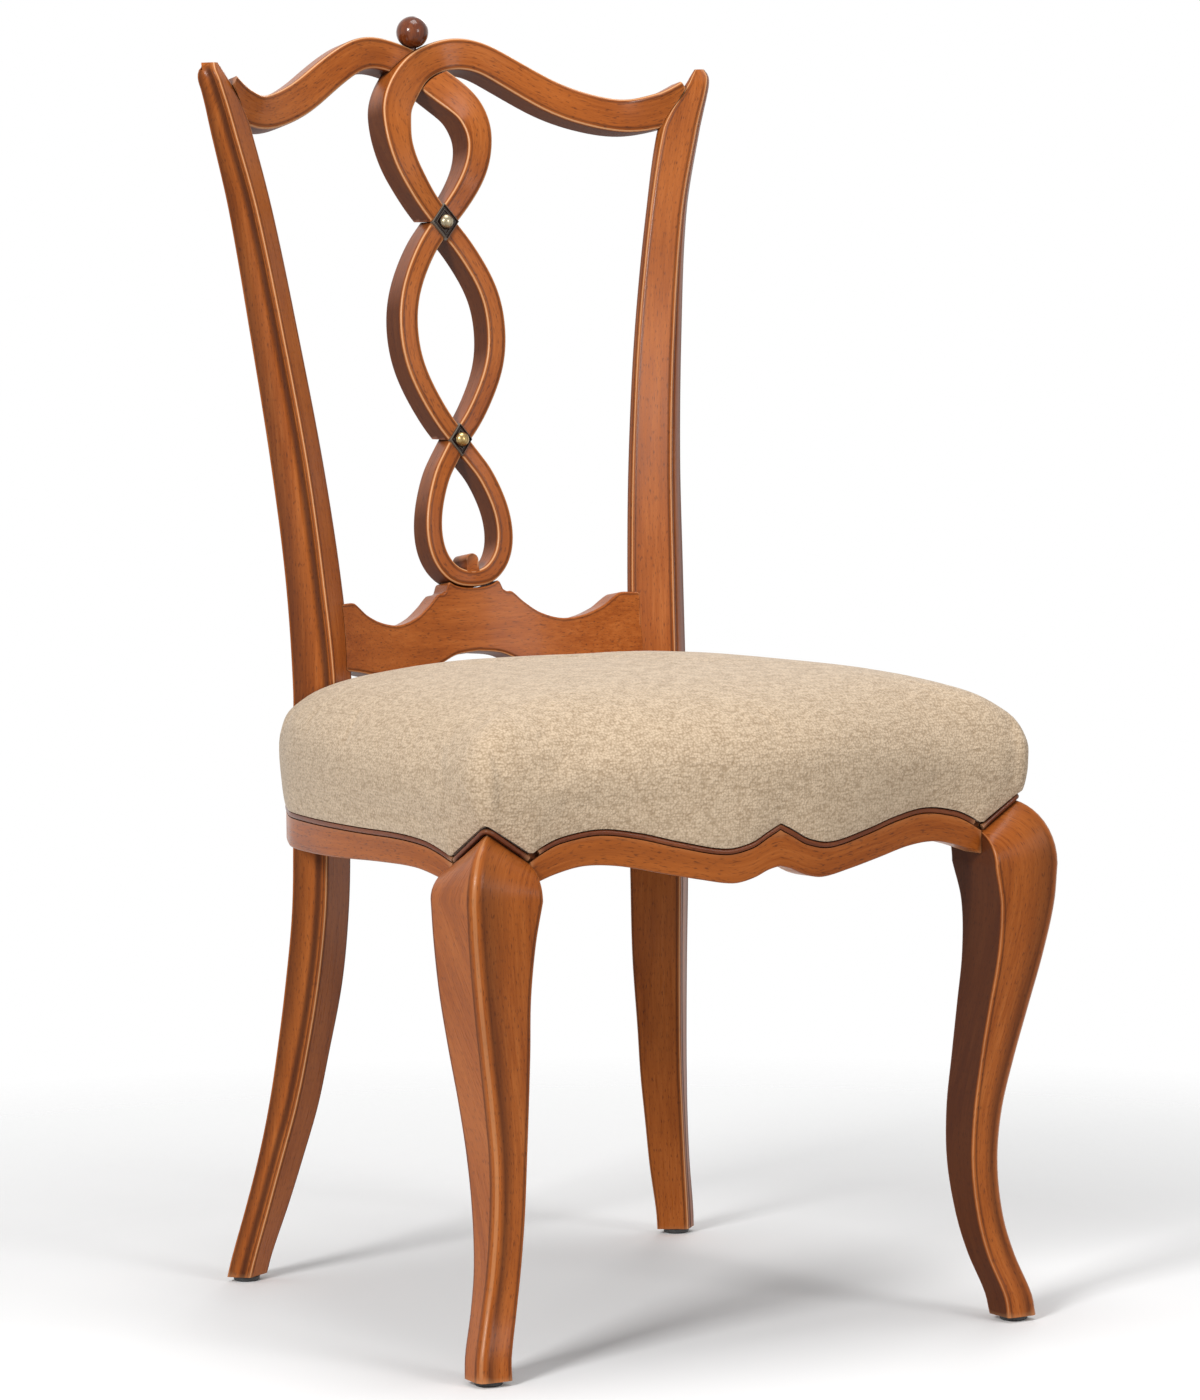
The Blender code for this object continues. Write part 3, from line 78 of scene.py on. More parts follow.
def through(rows, at):
    # the smooth curve through rows of (position, values...), read at one position
    at = min(max(at, rows[0][0]), rows[-1][0])
    i = next(i for i in range(len(rows) - 1) if at <= rows[i + 1][0])
    a, b = rows[i], rows[i + 1]
    before, after = rows[max(i - 1, 0)], rows[min(i + 2, len(rows) - 1)]
    span = b[0] - a[0]
    t = (at - a[0]) / span
    rise = t * t * (3 - 2 * t)
    found = []
    for k in range(1, len(a)):
        leave = (b[k] - before[k]) / (b[0] - before[0]) * span
        arrive = (after[k] - a[k]) / (after[0] - a[0]) * span
        found.append(a[k] * (1 - rise) + b[k] * rise + leave * t * (1 - t) ** 2
                     - arrive * t * t * (1 - t))
    return found


def spline(points, perSpan):
    made = []
    last = len(points) - 1
    for i in range(last):
        p0, p1 = points[max(i - 1, 0)], points[i]
        p2, p3 = points[i + 1], points[min(i + 2, last)]
        for step in range(perSpan):
            t = step / perSpan
            made.append([0.5 * (2 * b + (c - a) * t + (2 * a - 5 * b + 4 * c - d) * t * t
                                + (3 * b - a - 3 * c + d) * t ** 3)
                         for a, b, c, d in zip(p0, p1, p2, p3)])
    made.append(list(points[-1]))
    return made


def grown(corners, distance):
    made = []
    centre = middleOf(corners)
    for i, corner in enumerate(corners):
        normals = []
        for other in (corners[i - 1], corners[(i + 1) % len(corners)]):
            along = (other - corner).normalized()
            outwards = Vector((along.y, -along.x))
            normals.append(outwards if outwards.dot(corner - centre) > 0 else -outwards)
        bisector = (normals[0] + normals[1]).normalized()
        made.append(corner + bisector * distance / bisector.dot(normals[0]))
    return made


def cornerArc(corner, before, after, radius, steps):
    radius = min(radius, 0.45 * min((before - corner).length, (after - corner).length))
    toBefore = (before - corner).normalized() * radius
    toAfter = (after - corner).normalized() * radius
    return [corner + toBefore * (1 - i / steps) ** 2 + toAfter * (i / steps) ** 2
            for i in range(steps + 1)]


def roundedPlan(corners, radii, steps=5, flats=3):
    # corners become arcs, and each flat has a point close to both its ends
    arcs = []
    count = len(corners)
    for i, corner in enumerate(corners):
        arcs.append(cornerArc(corner, corners[i - 1], corners[(i + 1) % count], radii[i], steps))
    made = []
    for i, arc in enumerate(arcs):
        made += arc
        start, end = arc[-1], arcs[(i + 1) % count][0]
        near = min(shadeLineWidth / max((end - start).length, shadeLineWidth), 0.3)
        made += [start.lerp(end, share) for share in spread(near, 1 - near, flats)]
    return made


def paintedLightMarks(faces, steps=5, flats=3, ridges=(), shine=(0.9, 0.9)):
    # how much painted shade each point of a rounded plan holds; faces gives it for the flats, and
    # below nothing a point gets a painted highlight, as the front corners do
    marks = []
    for i, face in enumerate(faces):
        before = faces[i - 1]
        ends = (max(before, 0.8), max(face, 0.8))
        for k in range(steps + 1):
            share = k / steps
            rest = before + (face - before) * share
            # a painted shade line where each arc meets its flats, and a painted highlight on the arc's
            # middle
            line = max(0, 1 - 4 * share) * ends[0] + max(0, 4 * share - 3) * ends[1]
            edgeHighlight = shine[i] * max(0, 1.5 - abs(5 * share - 2.5)) if i < len(shine) else 0
            marks.append(-min(1, edgeHighlight) if edgeHighlight > 0.4 else max(line, rest * 0.7))
        flat = [face] * flats
        if i in ridges:
            flat[0] = 0.65
        marks += flat
    return marks


def mirrored(point, side):
    return Vector((point[0] * side, point[1], point[2]))


# Solids from rings, and the joints between them

def pathLengths(points):
    lengths = [0.0]
    for a, b in zip(points, points[1:]):
        lengths.append(lengths[-1] + (Vector(b) - Vector(a)).length)
    return lengths


def loft(name, rings, start=0.0, paintedShade=None, hold=None):
    # a closed skin extruded from ring to ring; the grain map and the painted shade and highlight marks lie
    # along it, and hold(i, j) says how firmly a point is nailed down
    bm = bmesh.new()
    layer = bm.verts.layers.float.new("held" if hold else "paintedShade")
    count = len(rings[0])
    row = bmesh.ops.create_circle(bm, segments=count, radius=1)["verts"]
    for vertex, point in zip(row, rings[0]):
        vertex.co = point
    index = {vertex: (0, j) for j, vertex in enumerate(row)}
    bmesh.ops.contextual_create(bm, geom=row)
    for i, ring in enumerate(rings[1:], 1):
        edges = [bm.edges.get((row[j], row[j - 1])) for j in range(count)]
        grown = bmesh.ops.extrude_edge_only(bm, edges=edges)["geom"]
        fresh = [None] * count
        for vertex in grown:
            if isinstance(vertex, bmesh.types.BMVert):
                below = next(e.other_vert(vertex) for e in vertex.link_edges
                             if e.other_vert(vertex) in index)
                fresh[index[below][1]] = vertex
        for j, (vertex, point) in enumerate(zip(fresh, ring)):
            vertex.co = point
            index[vertex] = (i, j)
        row = fresh
    bmesh.ops.contextual_create(bm, geom=row)
    bm.verts.index_update()

    heart = [sum((Vector(p) for p in ring), Vector()) / count for ring in rings]
    along = pathLengths(heart)
    around = [pathLengths(list(ring) + [ring[0]]) for ring in rings]
    grain = bm.loops.layers.uv.new("grain")
    for vertex, (i, j) in index.items():
        vertex[layer] = hold(i, j) if hold else paintedShade[j] if paintedShade else 0
    for face in bm.faces:
        columns = [index[v][1] for v in face.verts]
        wraps = 0 in columns and count - 1 in columns and len(columns) == 4
        for corner in face.loops:
            i, j = index[corner.vert]
            u = around[i][count] if wraps and j == 0 else around[i][j]
            corner[grain].uv = (u, start + along[i])
    bmesh.ops.recalc_face_normals(bm, faces=bm.faces)
    return toObject(name, bm)


def toObject(name, bm):
    mesh = bpy.data.meshes.new(name)
    bm.to_mesh(mesh)
    bm.free()
    made = bpy.data.objects.new(name, mesh)
    bpy.context.scene.collection.objects.link(made)
    return made


def block(name, low, high):
    bm = bmesh.new()
    bmesh.ops.create_cube(bm, size=1)
    low, high = Vector(low), Vector(high)
    for vertex in bm.verts:
        share = vertex.co + Vector((0.5, 0.5, 0.5))
        vertex.co = Vector(low[k] + (high[k] - low[k]) * share[k] for k in range(3))
    return toObject(name, bm)


def bake(piece):
    # what the modifiers show becomes the piece's own mesh
    graph = bpy.context.evaluated_depsgraph_get()
    mesh = bpy.data.meshes.new_from_object(piece.evaluated_get(graph),
                                           preserve_all_data_layers=True, depsgraph=graph)
    piece.modifiers.clear()
    old = piece.data
    piece.data = mesh
    bpy.data.meshes.remove(old)


def carve(piece, tools, operation="DIFFERENCE"):
    for tool in tools:
        step = piece.modifiers.new(tool.name, "BOOLEAN")
        step.operation = operation
        step.object = tool
        step.solver = "EXACT"
    bake(piece)
    for tool in tools:
        bpy.data.objects.remove(tool, do_unlink=True)


def finishPiece(piece, material, stands=(), sharp=35):
    piece.data.transform(Matrix.Translation((0, chair["centring"], 0)))
    piece.data.materials.clear()
    piece.data.materials.append(material)
    piece.data.shade_smooth()
    if sharp:
        piece.data.set_sharp_from_angle(angle=math.radians(sharp))
    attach(piece, "root")
    if stands:
        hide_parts(*stands)
    return piece


def turned(name, profile, steps=48):
    # a profile of (radius, height) spun about the upright axis
    bm = bmesh.new()
    row = [bm.verts.new((radius, 0, height)) for radius, height in profile]
    edges = [bm.edges.new(pair) for pair in zip(row, row[1:])]
    bmesh.ops.spin(bm, geom=row + edges, cent=(0, 0, 0), axis=(0, 0, 1),
                   angle=math.tau, steps=steps, use_merge=True)
    bmesh.ops.remove_doubles(bm, verts=bm.verts, dist=1e-6)
    bmesh.ops.recalc_face_normals(bm, faces=bm.faces)
    return toObject(name, bm)


def turnTo(piece, centre, axis):
    turn = Vector(axis).to_track_quat("Z", "Y").to_matrix().to_4x4()
    piece.data.transform(Matrix.Translation(centre) @ turn)


rakeSine, rakeCosine = math.sin(math.radians(chair["rake"])), math.cos(math.radians(chair["rake"]))
crestCrossingZ = (chair["upperCrossingZ"]
                  + chair["crestCrossing"] * (chair["crestEndZ"] - chair["upperCrossingZ"]))


def leaning(origin, across, up, deep, side=1):
    x, y, z = origin
    return mirrored((x + across, y + up * rakeSine + deep * rakeCosine,
                     z + up * rakeCosine - deep * rakeSine), side)


# Materials

def shaderTree(name):
    material = bpy.data.materials.new(name)
    material.use_nodes = True
    tree = material.node_tree
    return material, tree, tree.nodes["Principled BSDF"]


def node(tree, kind, **settings):
    made = tree.nodes.new(kind)
    for key, value in settings.items():
        if key in made.inputs:
            made.inputs[key].default_value = value
        else:
            setattr(made, key, value)
    return made


def ramp(tree, source, stops):
    made = tree.nodes.new("ShaderNodeValToRGB")
    while len(made.color_ramp.elements) < len(stops):
        made.color_ramp.elements.new(0.5)
    for element, (position, colour) in zip(made.color_ramp.elements, stops):
        element.position = position
        element.color = (*colour, 1) if len(colour) == 3 else colour
    tree.links.new(source, made.inputs["Fac"])
    return made.outputs["Color"]


def mixed(tree, factor, first, second, mode="MIX"):
    made = tree.nodes.new("ShaderNodeMix")
    made.data_type = "RGBA"
    made.blend_type = mode
    for socket, value in ((made.inputs["Factor"], factor), (made.inputs[6], first),
                          (made.inputs[7], second)):
        if hasattr(value, "links"):
            tree.links.new(value, socket)
        elif isinstance(value, float):
            socket.default_value = value
        else:
            socket.default_value = (*value, 1)
    return made.outputs[2]


def maths(tree, operation, first, second=0.0):
    made = tree.nodes.new("ShaderNodeMath")
    made.operation = operation
    for socket, value in zip(made.inputs, (first, second)):
        if hasattr(value, "links"):
            tree.links.new(value, socket)
        else:
            socket.default_value = value
    return made.outputs[0]


def ranged(tree, value, low, high, toLow=0.0, toHigh=1.0):
    made = tree.nodes.new("ShaderNodeMapRange")
    tree.links.new(value, made.inputs["Value"])
    for key, number in (("From Min", low), ("From Max", high), ("To Min", toLow), ("To Max", toHigh)):
        made.inputs[key].default_value = number
    return made.outputs["Result"]


def noise(tree, vector, scale, detail=3.0, roughness=0.5, stretch=(1, 1, 1)):
    place = tree.nodes.new("ShaderNodeMapping")
    place.inputs["Scale"].default_value = stretch
    tree.links.new(vector, place.inputs["Vector"])
    made = tree.nodes.new("ShaderNodeTexNoise")
    made.inputs["Scale"].default_value = scale
    made.inputs["Detail"].default_value = detail
    made.inputs["Roughness"].default_value = roughness
    tree.links.new(place.outputs["Vector"], made.inputs["Vector"])
    return made.outputs["Fac"]


woodLook = {
    "deep": (0.210, 0.046, 0.006),
    "body": (0.315, 0.078, 0.011),
    "light": (0.430, 0.128, 0.026),
    "pore": (0.075, 0.020, 0.007),
    "paintedShade": (0.026, 0.006, 0.003),
    # edge is the colour of the painted highlight along the edges
    "edge": (0.780, 0.430, 0.210),
    "shadeReach": 0.008,
    "roughness": (0.26, 0.36),
    "specular": 0.12,
    "coat": 0.04,
    "coatRoughness": 0.12,
}


def polishedWood(name, look, axis=None, seed=0.0):
    # lacquered wood, its grain along the grain map or along an axis
    material, tree, shader = shaderTree(name)
    links = tree.links
    if axis is None:
        source = node(tree, "ShaderNodeUVMap", uv_map="grain").outputs["UV"]
        lengths = [(1, share, 1) for share in (0.10, 0.05, 0.16)]
    else:
        source = node(tree, "ShaderNodeTexCoord").outputs["Object"]
        lengths = [tuple(share if k == "xyz".index(axis) else 1 for k in range(3))
                   for share in (0.10, 0.05, 0.16)]
    shifted = node(tree, "ShaderNodeMapping", Location=(seed, seed * 0.7, seed * 0.3))
    links.new(source, shifted.inputs["Vector"])
    place = shifted.outputs["Vector"]

    bands = noise(tree, place, 75, 2, 0.5, lengths[0])
    streaks = noise(tree, place, 520, 3, 0.6, lengths[1])
    pores = noise(tree, place, 1150, 1, 0.4, lengths[2])
    clouds = noise(tree, place, 16, 2, 0.5, (1, 0.5, 1))
    tone = maths(tree, "ADD", maths(tree, "MULTIPLY", bands, 0.5), maths(tree, "MULTIPLY", streaks, 0.5))
    colour = ramp(tree, tone, ((0.32, look["deep"]), (0.50, look["body"]), (0.70, look["light"])))
    colour = mixed(tree, ranged(tree, clouds, 0.35, 0.70, 0.0, 0.45), colour, look["light"])
    dark = ranged(tree, pores, 0.60, 0.72, 0.0, 0.62)
    colour = mixed(tree, dark, colour, look["pore"])

    # painted shade: darker in creases found by occlusion, in lines inside the edges and on the fretted
    # sides, and less on faces turned up
    crease = node(tree, "ShaderNodeAmbientOcclusion", Distance=look["shadeReach"])
    crease.samples = 8
    creaseShade = ranged(tree, crease.outputs["AO"], 0.35, 0.80, 0.85, 0.0)
    paintedMarks = node(tree, "ShaderNodeAttribute", attribute_name="paintedShade").outputs["Fac"]
    geometry = node(tree, "ShaderNodeNewGeometry")
    upright = node(tree, "ShaderNodeSeparateXYZ")
    links.new(geometry.outputs["Normal"], upright.inputs[0])
    shadeFacingDown = ranged(tree, upright.outputs["Z"], 0.15, 0.60, 0.85, 0.10)
    markedShade = maths(tree, "MULTIPLY", paintedMarks, shadeFacingDown)
    colour = mixed(tree, maths(tree, "MAXIMUM", creaseShade, markedShade), colour, look["paintedShade"])
    # painted highlight: a pale line on the sharpest edges and where the marks fall below nothing
    paintedHighlight = maths(tree, "MAXIMUM", ranged(tree, geometry.outputs["Pointiness"], 0.53, 0.61, 0.0, 0.4),
                 ranged(tree, maths(tree, "MULTIPLY", paintedMarks, -1), 0.25, 0.95, 0.0, 0.75))
    colour = mixed(tree, paintedHighlight, colour, look["edge"])
    links.new(colour, shader.inputs["Base Color"])

    low, high = look["roughness"]
    gloss = ranged(tree, streaks, 0.3, 0.7, low, high)
    dull = maths(tree, "MULTIPLY", maths(tree, "MAXIMUM", creaseShade, markedShade), 0.80)
    links.new(maths(tree, "MAXIMUM", gloss, dull), shader.inputs["Roughness"])
    shader.inputs["Coat Weight"].default_value = look["coat"]
    shader.inputs["Coat Roughness"].default_value = look["coatRoughness"]
    shader.inputs["Specular IOR Level"].default_value = look["specular"]

    rough = maths(tree, "MULTIPLY", streaks, 0.6)
    height = maths(tree, "SUBTRACT", rough, maths(tree, "MULTIPLY", dark, 0.5))
    bump = node(tree, "ShaderNodeBump", Strength=0.10, Distance=0.0003)
    links.new(height, bump.inputs["Height"])
    links.new(bump.outputs["Normal"], shader.inputs["Normal"])
    return material


def plainLook(name, colour, other, roughness, scale, metallic=0.0, bumpDistance=0.0002, stretch=(1, 1, 1)):
    material, tree, shader = shaderTree(name)
    place = node(tree, "ShaderNodeTexCoord").outputs["Object"]
    grainy = noise(tree, place, scale, 4, 0.6, stretch)
    tree.links.new(mixed(tree, ranged(tree, grainy, 0.35, 0.65), colour, other), shader.inputs["Base Color"])
    satin = ranged(tree, grainy, 0.3, 0.7, roughness - 0.06, roughness + 0.06)
    tree.links.new(satin, shader.inputs["Roughness"])
    shader.inputs["Metallic"].default_value = metallic
    bump = node(tree, "ShaderNodeBump", Strength=0.3, Distance=bumpDistance)
    tree.links.new(grainy, bump.inputs["Height"])
    tree.links.new(bump.outputs["Normal"], shader.inputs["Normal"])
    return material


fabricLook = {
    "yarn": (0.640, 0.490, 0.340),
    "gap": (0.350, 0.245, 0.150),
    "light": (0.800, 0.670, 0.500),
    "pitch": 0.0019,
}


def wovenFabric(name, look):
    # a pebbly tan weave: short thick yarns with dark gaps between them
    material, tree, shader = shaderTree(name)
    links = tree.links
    place = node(tree, "ShaderNodeTexCoord").outputs["Object"]
    cells = node(tree, "ShaderNodeTexVoronoi", feature="F1")
    cells.inputs["Scale"].default_value = 1 / look["pitch"]
    cells.inputs["Randomness"].default_value = 0.75
    links.new(place, cells.inputs["Vector"])
    pebbles = ranged(tree, cells.outputs["Distance"], 0.30, 0.72, 1.0, 0.0)
    weft = ranged(tree, noise(tree, place, 0.7 / look["pitch"], 0, 0.5, (0.35, 0.35, 1.3)), 0.40, 0.62)
    knots = maths(tree, "ADD", maths(tree, "MULTIPLY", pebbles, 0.7), maths(tree, "MULTIPLY", weft, 0.3))
    threads = noise(tree, place, 2600, 2, 0.5)
    slubs = noise(tree, place, 70, 3, 0.6)
    warp = noise(tree, place, 420, 1, 0.5, (1, 1, 0.04))
    colour = mixed(tree, knots, look["gap"], look["yarn"])
    colour = mixed(tree, ranged(tree, threads, 0.50, 0.75, 0.0, 0.40), colour, look["light"])
    colour = mixed(tree, ranged(tree, slubs, 0.40, 0.70, 0.0, 0.08), colour, look["light"])
    colour = mixed(tree, ranged(tree, warp, 0.56, 0.70, 0.0, 0.16), colour, look["gap"])
    # painted shade: the weave darkens where occlusion finds the bead and the frame close by
    edge = node(tree, "ShaderNodeAmbientOcclusion", Distance=0.012)
    edge.samples = 8
    colour = mixed(tree, ranged(tree, edge.outputs["AO"], 0.30, 0.75, 0.60, 0.0), colour, (0.16, 0.10, 0.06))
    links.new(colour, shader.inputs["Base Color"])
    shader.inputs["Roughness"].default_value = 0.92
    shader.inputs["Specular IOR Level"].default_value = 0.20
    shader.inputs["Sheen Weight"].default_value = 0.20
    shader.inputs["Sheen Roughness"].default_value = 0.5
    height = maths(tree, "ADD", knots, maths(tree, "MULTIPLY", threads, 0.30))
    bump = node(tree, "ShaderNodeBump", Strength=0.70, Distance=0.0005)
    links.new(height, bump.inputs["Height"])
    links.new(bump.outputs["Normal"], shader.inputs["Normal"])
    return material


beadLook = dict(woodLook, deep=(0.070, 0.015, 0.005), body=(0.150, 0.036, 0.011),
                light=(0.260, 0.075, 0.024), pore=(0.040, 0.010, 0.005), coat=0.12)
ballLook = dict(woodLook, deep=(0.045, 0.009, 0.003), body=(0.120, 0.025, 0.006),
                light=(0.230, 0.060, 0.014), roughness=(0.16, 0.22), specular=0.2, coat=0.3,
                coatRoughness=0.05)
# the edge colour here is the painted highlight on the lozenges' rims
blackLook = dict(woodLook, deep=(0.008, 0.006, 0.005), body=(0.018, 0.013, 0.010),
                 light=(0.050, 0.040, 0.030), edge=(0.300, 0.260, 0.210),
                 pore=(0.006, 0.004, 0.003), roughness=(0.20, 0.32), coat=0.2)

legWood = polishedWood("legWood", woodLook)
postWood = polishedWood("postWood", woodLook, seed=0.31)
ribbonWood = polishedWood("ribbonWood", woodLook, seed=0.57)
railWood = polishedWood("railWood", woodLook, seed=0.83)
crossRailWood = polishedWood("crossRailWood", woodLook, "x", 0.12)
beadWood = polishedWood("beadWood", beadLook)
ballWood = polishedWood("ballWood", ballLook, "z", 0.2)
ebonisedWood = polishedWood("ebonisedWood", blackLook, "z", 0.4)
seatFabric = wovenFabric("seatFabric", fabricLook)
agedBronze = plainLook("agedBronze", (0.46, 0.40, 0.28), (0.26, 0.22, 0.14), 0.30, 260, 1.0)
warmBronze = plainLook("warmBronze", (0.52, 0.38, 0.17), (0.30, 0.20, 0.08), 0.28, 260, 1.0)
blockWood = plainLook("blockWood", (0.50, 0.34, 0.19), (0.38, 0.24, 0.12), 0.62, 120, 0.0, 0.0003,
                      (1, 1, 0.1))
straps = plainLook("jute", (0.36, 0.28, 0.19), (0.22, 0.17, 0.11), 0.88, 700, 0.0, 0.0005)
lining = plainLook("lining", (0.030, 0.029, 0.028), (0.016, 0.016, 0.016), 0.90, 900, 0.0, 0.0003)
zincSteel = plainLook("zincSteel", (0.55, 0.55, 0.56), (0.42, 0.42, 0.43), 0.34, 500, 1.0)
glideBlack = plainLook("glideBlack", (0.020, 0.020, 0.021), (0.034, 0.034, 0.035), 0.48, 700)
print("materials made")


# Front legs

frontLeg = {
    # height, corner from the block, front, width, depth, outward set of the back
    "rows": (
        (0.004, 0.0158, -0.2600, 0.0275, 0.0270, -0.0010),
        (0.020, 0.0140, -0.2575, 0.0268, 0.0283, -0.0018),
        (0.050, 0.0045, -0.2488, 0.0262, 0.0287, -0.0022),
        (0.080, -0.0030, -0.2445, 0.0252, 0.0318, -0.0015),
        (0.120, -0.0072, -0.2435, 0.0255, 0.0378, 0.0000),
        (0.160, -0.0058, -0.2470, 0.0273, 0.0432, 0.0015),
        (0.200, 0.0007, -0.2537, 0.0322, 0.0468, 0.0028),
        (0.240, 0.0088, -0.2615, 0.0378, 0.0518, 0.0037),
        (0.280, 0.0170, -0.2695, 0.0428, 0.0570, 0.0036),
        (0.320, 0.0235, -0.2760, 0.0502, 0.0612, 0.0025),
        (0.350, 0.0258, -0.2776, 0.0578, 0.0648, 0.0010),
    ),
    "ridgeRadius": 0.008,
    "edgeRadius": 0.003,
    "blockRadii": (0.003, 0.001, 0.001, 0.001),
    "kneeZ": 0.35,
    "capTipZ": 0.402,
    "capFrontZ": 0.379,
    "capSideZ": 0.376,
    "capLift": 0.0031,
    "step": 0.005,
    "capTurns": (8, 16, 24, 32, 40, 48, 56, 63, 69, 74, 78),
    # painted shade on each face, darkest on the inner side, which lies in shade under the seat
    "paintedShade": (0, 0.95, 0.3, 0),  # front, inner side, back, outer side
}
frontRail = {
    "faceY": -0.2705,
    "bow": 0.0135,
    "bowMargin": 0.007,
    "thick": 0.022,
    "edgeRadius": 0.002,
    "bead": (
        (0.000, 0.3930), (0.052, 0.3880), (0.124, 0.3805), (0.233, 0.3770), (0.415, 0.3838),
        (0.570, 0.3913), (0.720, 0.3952), (0.870, 0.3910), (0.943, 0.3855), (1.000, 0.3790),
    ),
    "edge": (
        (0.000, 0.3640), (0.052, 0.3615), (0.114, 0.3564), (0.197, 0.3534), (0.332, 0.3575),
        (0.482, 0.3634), (0.642, 0.3698), (0.777, 0.3712), (0.891, 0.3666), (1.000, 0.3590),
    ),
    "steps": 121,
}


def frontFace(x):
    reach = chair["frontRailHalf"] + frontRail["bowMargin"]
    return frontRail["faceY"] - frontRail["bow"] * math.cos(math.pi * x / reach)


def frontLegPlan(z):
    x, y, width, depth, splay = through(frontLeg["rows"], z)
    x += chair["legBlockX"]
    inner, back = x - width, y + depth
    return [Vector((x, y)), Vector((inner, y)), Vector((inner + splay, back)), Vector((x + splay, back))]


def legBlockPlan():
    front = frontFace(chair["frontRailHalf"]) + chair["rebate"]
    inner, outer, back = chair["frontRailHalf"], chair["legBlockX"], chair["legBlockBackY"]
    return [Vector((outer, front)), Vector((inner, front)), Vector((inner, back)), Vector((outer, back))]


def capHeight(shareX, shareY):
    front = frontLeg["capFrontZ"] + (frontLeg["capTipZ"] - frontLeg["capFrontZ"]) * shareX
    return front * (1 - shareY) + frontLeg["capSideZ"] * shareY


def makeFrontLeg(label, side):
    radii = [frontLeg["ridgeRadius"]] + [frontLeg["edgeRadius"]] * 3
    low, high = frontLeg["rows"][0][0], frontLeg["kneeZ"]
    rings = []
    for z in spread(low, high, round((high - low) / frontLeg["step"]) + 1):
        rings.append([mirrored((p.x, p.y, z), side) for p in roundedPlan(frontLegPlan(z), radii)])
    knee = roundedPlan(frontLegPlan(high), radii)
    corners = legBlockPlan()
    top = roundedPlan(corners, frontLeg["blockRadii"])
    inner, outer = corners[2], corners[0]
    rim = []
    for p in top:
        shareX = (p.x - inner.x) / (outer.x - inner.x)
        shareY = (p.y - outer.y) / (inner.y - outer.y)
        rim.append(capHeight(shareX, shareY) - frontLeg["capLift"])
    end = math.radians(frontLeg["capTurns"][-1])
    for angle in frontLeg["capTurns"]:
        turn = math.radians(angle)
        inwards = (1 - math.cos(turn)) / (1 - math.cos(end))
        upwards = math.sin(turn) / math.sin(end)
        ring = []
        for k, b, z in zip(knee, top, rim):
            p = k.lerp(b, inwards)
            ring.append(mirrored((p.x, p.y, high + (z - high) * upwards), side))
        rings.append(ring)
    rings.append([mirrored((p.x, p.y, chair["frameTop"]), side) for p in top])
    marks = paintedLightMarks(frontLeg["paintedShade"], ridges=(0,), shine=(0.45, 0.45))
    leg = loft(f"frontLeg{label.title()}", rings, 0, marks)
    return finishPiece(leg, legWood, [f"front_leg_{label}"])


for label, side in sides:
    makeFrontLeg(label, side)
print("front legs made")


# Rear legs and posts

rearPost = {
    # height, front corner, width and turn of the front, depth and turn of the outer face
    "rows": (
        (0.004, 0.2020, 0.2020, 0.0255, 32, 0.0202, 45),
        (0.020, 0.1993, 0.1982, 0.0259, 32, 0.0204, 45),
        (0.060, 0.1916, 0.1882, 0.0291, 30, 0.0206, 48),
        (0.100, 0.1841, 0.1782, 0.0310, 29, 0.0212, 48),
        (0.140, 0.1767, 0.1679, 0.0331, 30, 0.0237, 47),
        (0.180, 0.1712, 0.1590, 0.0348, 32, 0.0259, 47),
        (0.240, 0.1650, 0.1476, 0.0386, 33, 0.0283, 47),
        (0.300, 0.1612, 0.1394, 0.0405, 36, 0.0288, 46),
        (0.360, 0.1600, 0.1363, 0.0413, 37, 0.0295, 46),
        (0.430, 0.1565, 0.1330, 0.0378, 39, 0.0335, 46),
        (0.475, 0.1542, 0.1311, 0.0353, 40, 0.0355, 46),
        (0.560, 0.1580, 0.1400, 0.0341, 39, 0.0323, 45),
        (0.650, 0.1643, 0.1520, 0.0317, 40, 0.0315, 46),
        (0.750, 0.1763, 0.1663, 0.0292, 39, 0.0288, 47),
        (0.850, 0.1923, 0.1778, 0.0264, 36, 0.0258, 52),
        (0.915, 0.2089, 0.1826, 0.0275, 35, 0.0224, 53),
        (0.930, 0.2132, 0.1830, 0.0244, 35, 0.0212, 53),
        (0.943, 0.2174, 0.1834, 0.0193, 35, 0.0203, 54),
        (0.953, 0.2203, 0.1846, 0.0150, 35, 0.0197, 54),
        (0.960, 0.2220, 0.1876, 0.0116, 35, 0.0148, 54),
        (0.965, 0.2208, 0.1915, 0.0060, 35, 0.0072, 54),
    ),
    "facet": ((0.330, 0.0010), (0.430, 0.0080), (0.850, 0.0088), (0.930, 0.0110), (0.965, 0.0030)),
    "edgeRadius": 0.0028,
    "backRadius": 0.0024,
    "cove": ((0.0116, 0.0), (0.0104, 0.25), (0.0092, 0.72), (0.0080, 0.97), (0.0068, 1.0),
             (0.0056, 0.95), (0.0047, 0.65), (0.0039, 0.15), (0.0034, 0.0)),
    "coveDepth": 0.0016,
    "coveZ": ((0.430, 0.0), (0.475, 1.0), (0.943, 1.0), (0.960, 0.4), (0.965, 0.0)),
    "step": 0.006,
    "topFrom": 0.93,
    # painted shade on each face of the post
    "paintedShade": (0, 0.2, 0.3, 0.2),
}


def postPlan(z, grow=0.0, behind=0.0, beyond=0.0):
    x, y, width, turn, depth, splay = through(rearPost["rows"], z)
    facet = through(rearPost["facet"], z)[0]
    inwards = Vector((-math.cos(math.radians(turn)), math.sin(math.radians(turn))))
    outwards = Vector((math.cos(math.radians(splay)), math.sin(math.radians(splay))))
    outer = Vector((x, y))
    inner = outer + inwards * width
    back = outwards * depth
    corners = grown([outer, inner, inner + Vector((0, facet)), inner + back, outer + back], grow)
    for corner in corners[3:]:
        corner += outwards * behind
    if beyond:
        corners.insert(1, corners[1] - outwards * beyond)
        corners[0] -= (outwards + inwards) * beyond
        corners[5] -= inwards * beyond
    return corners


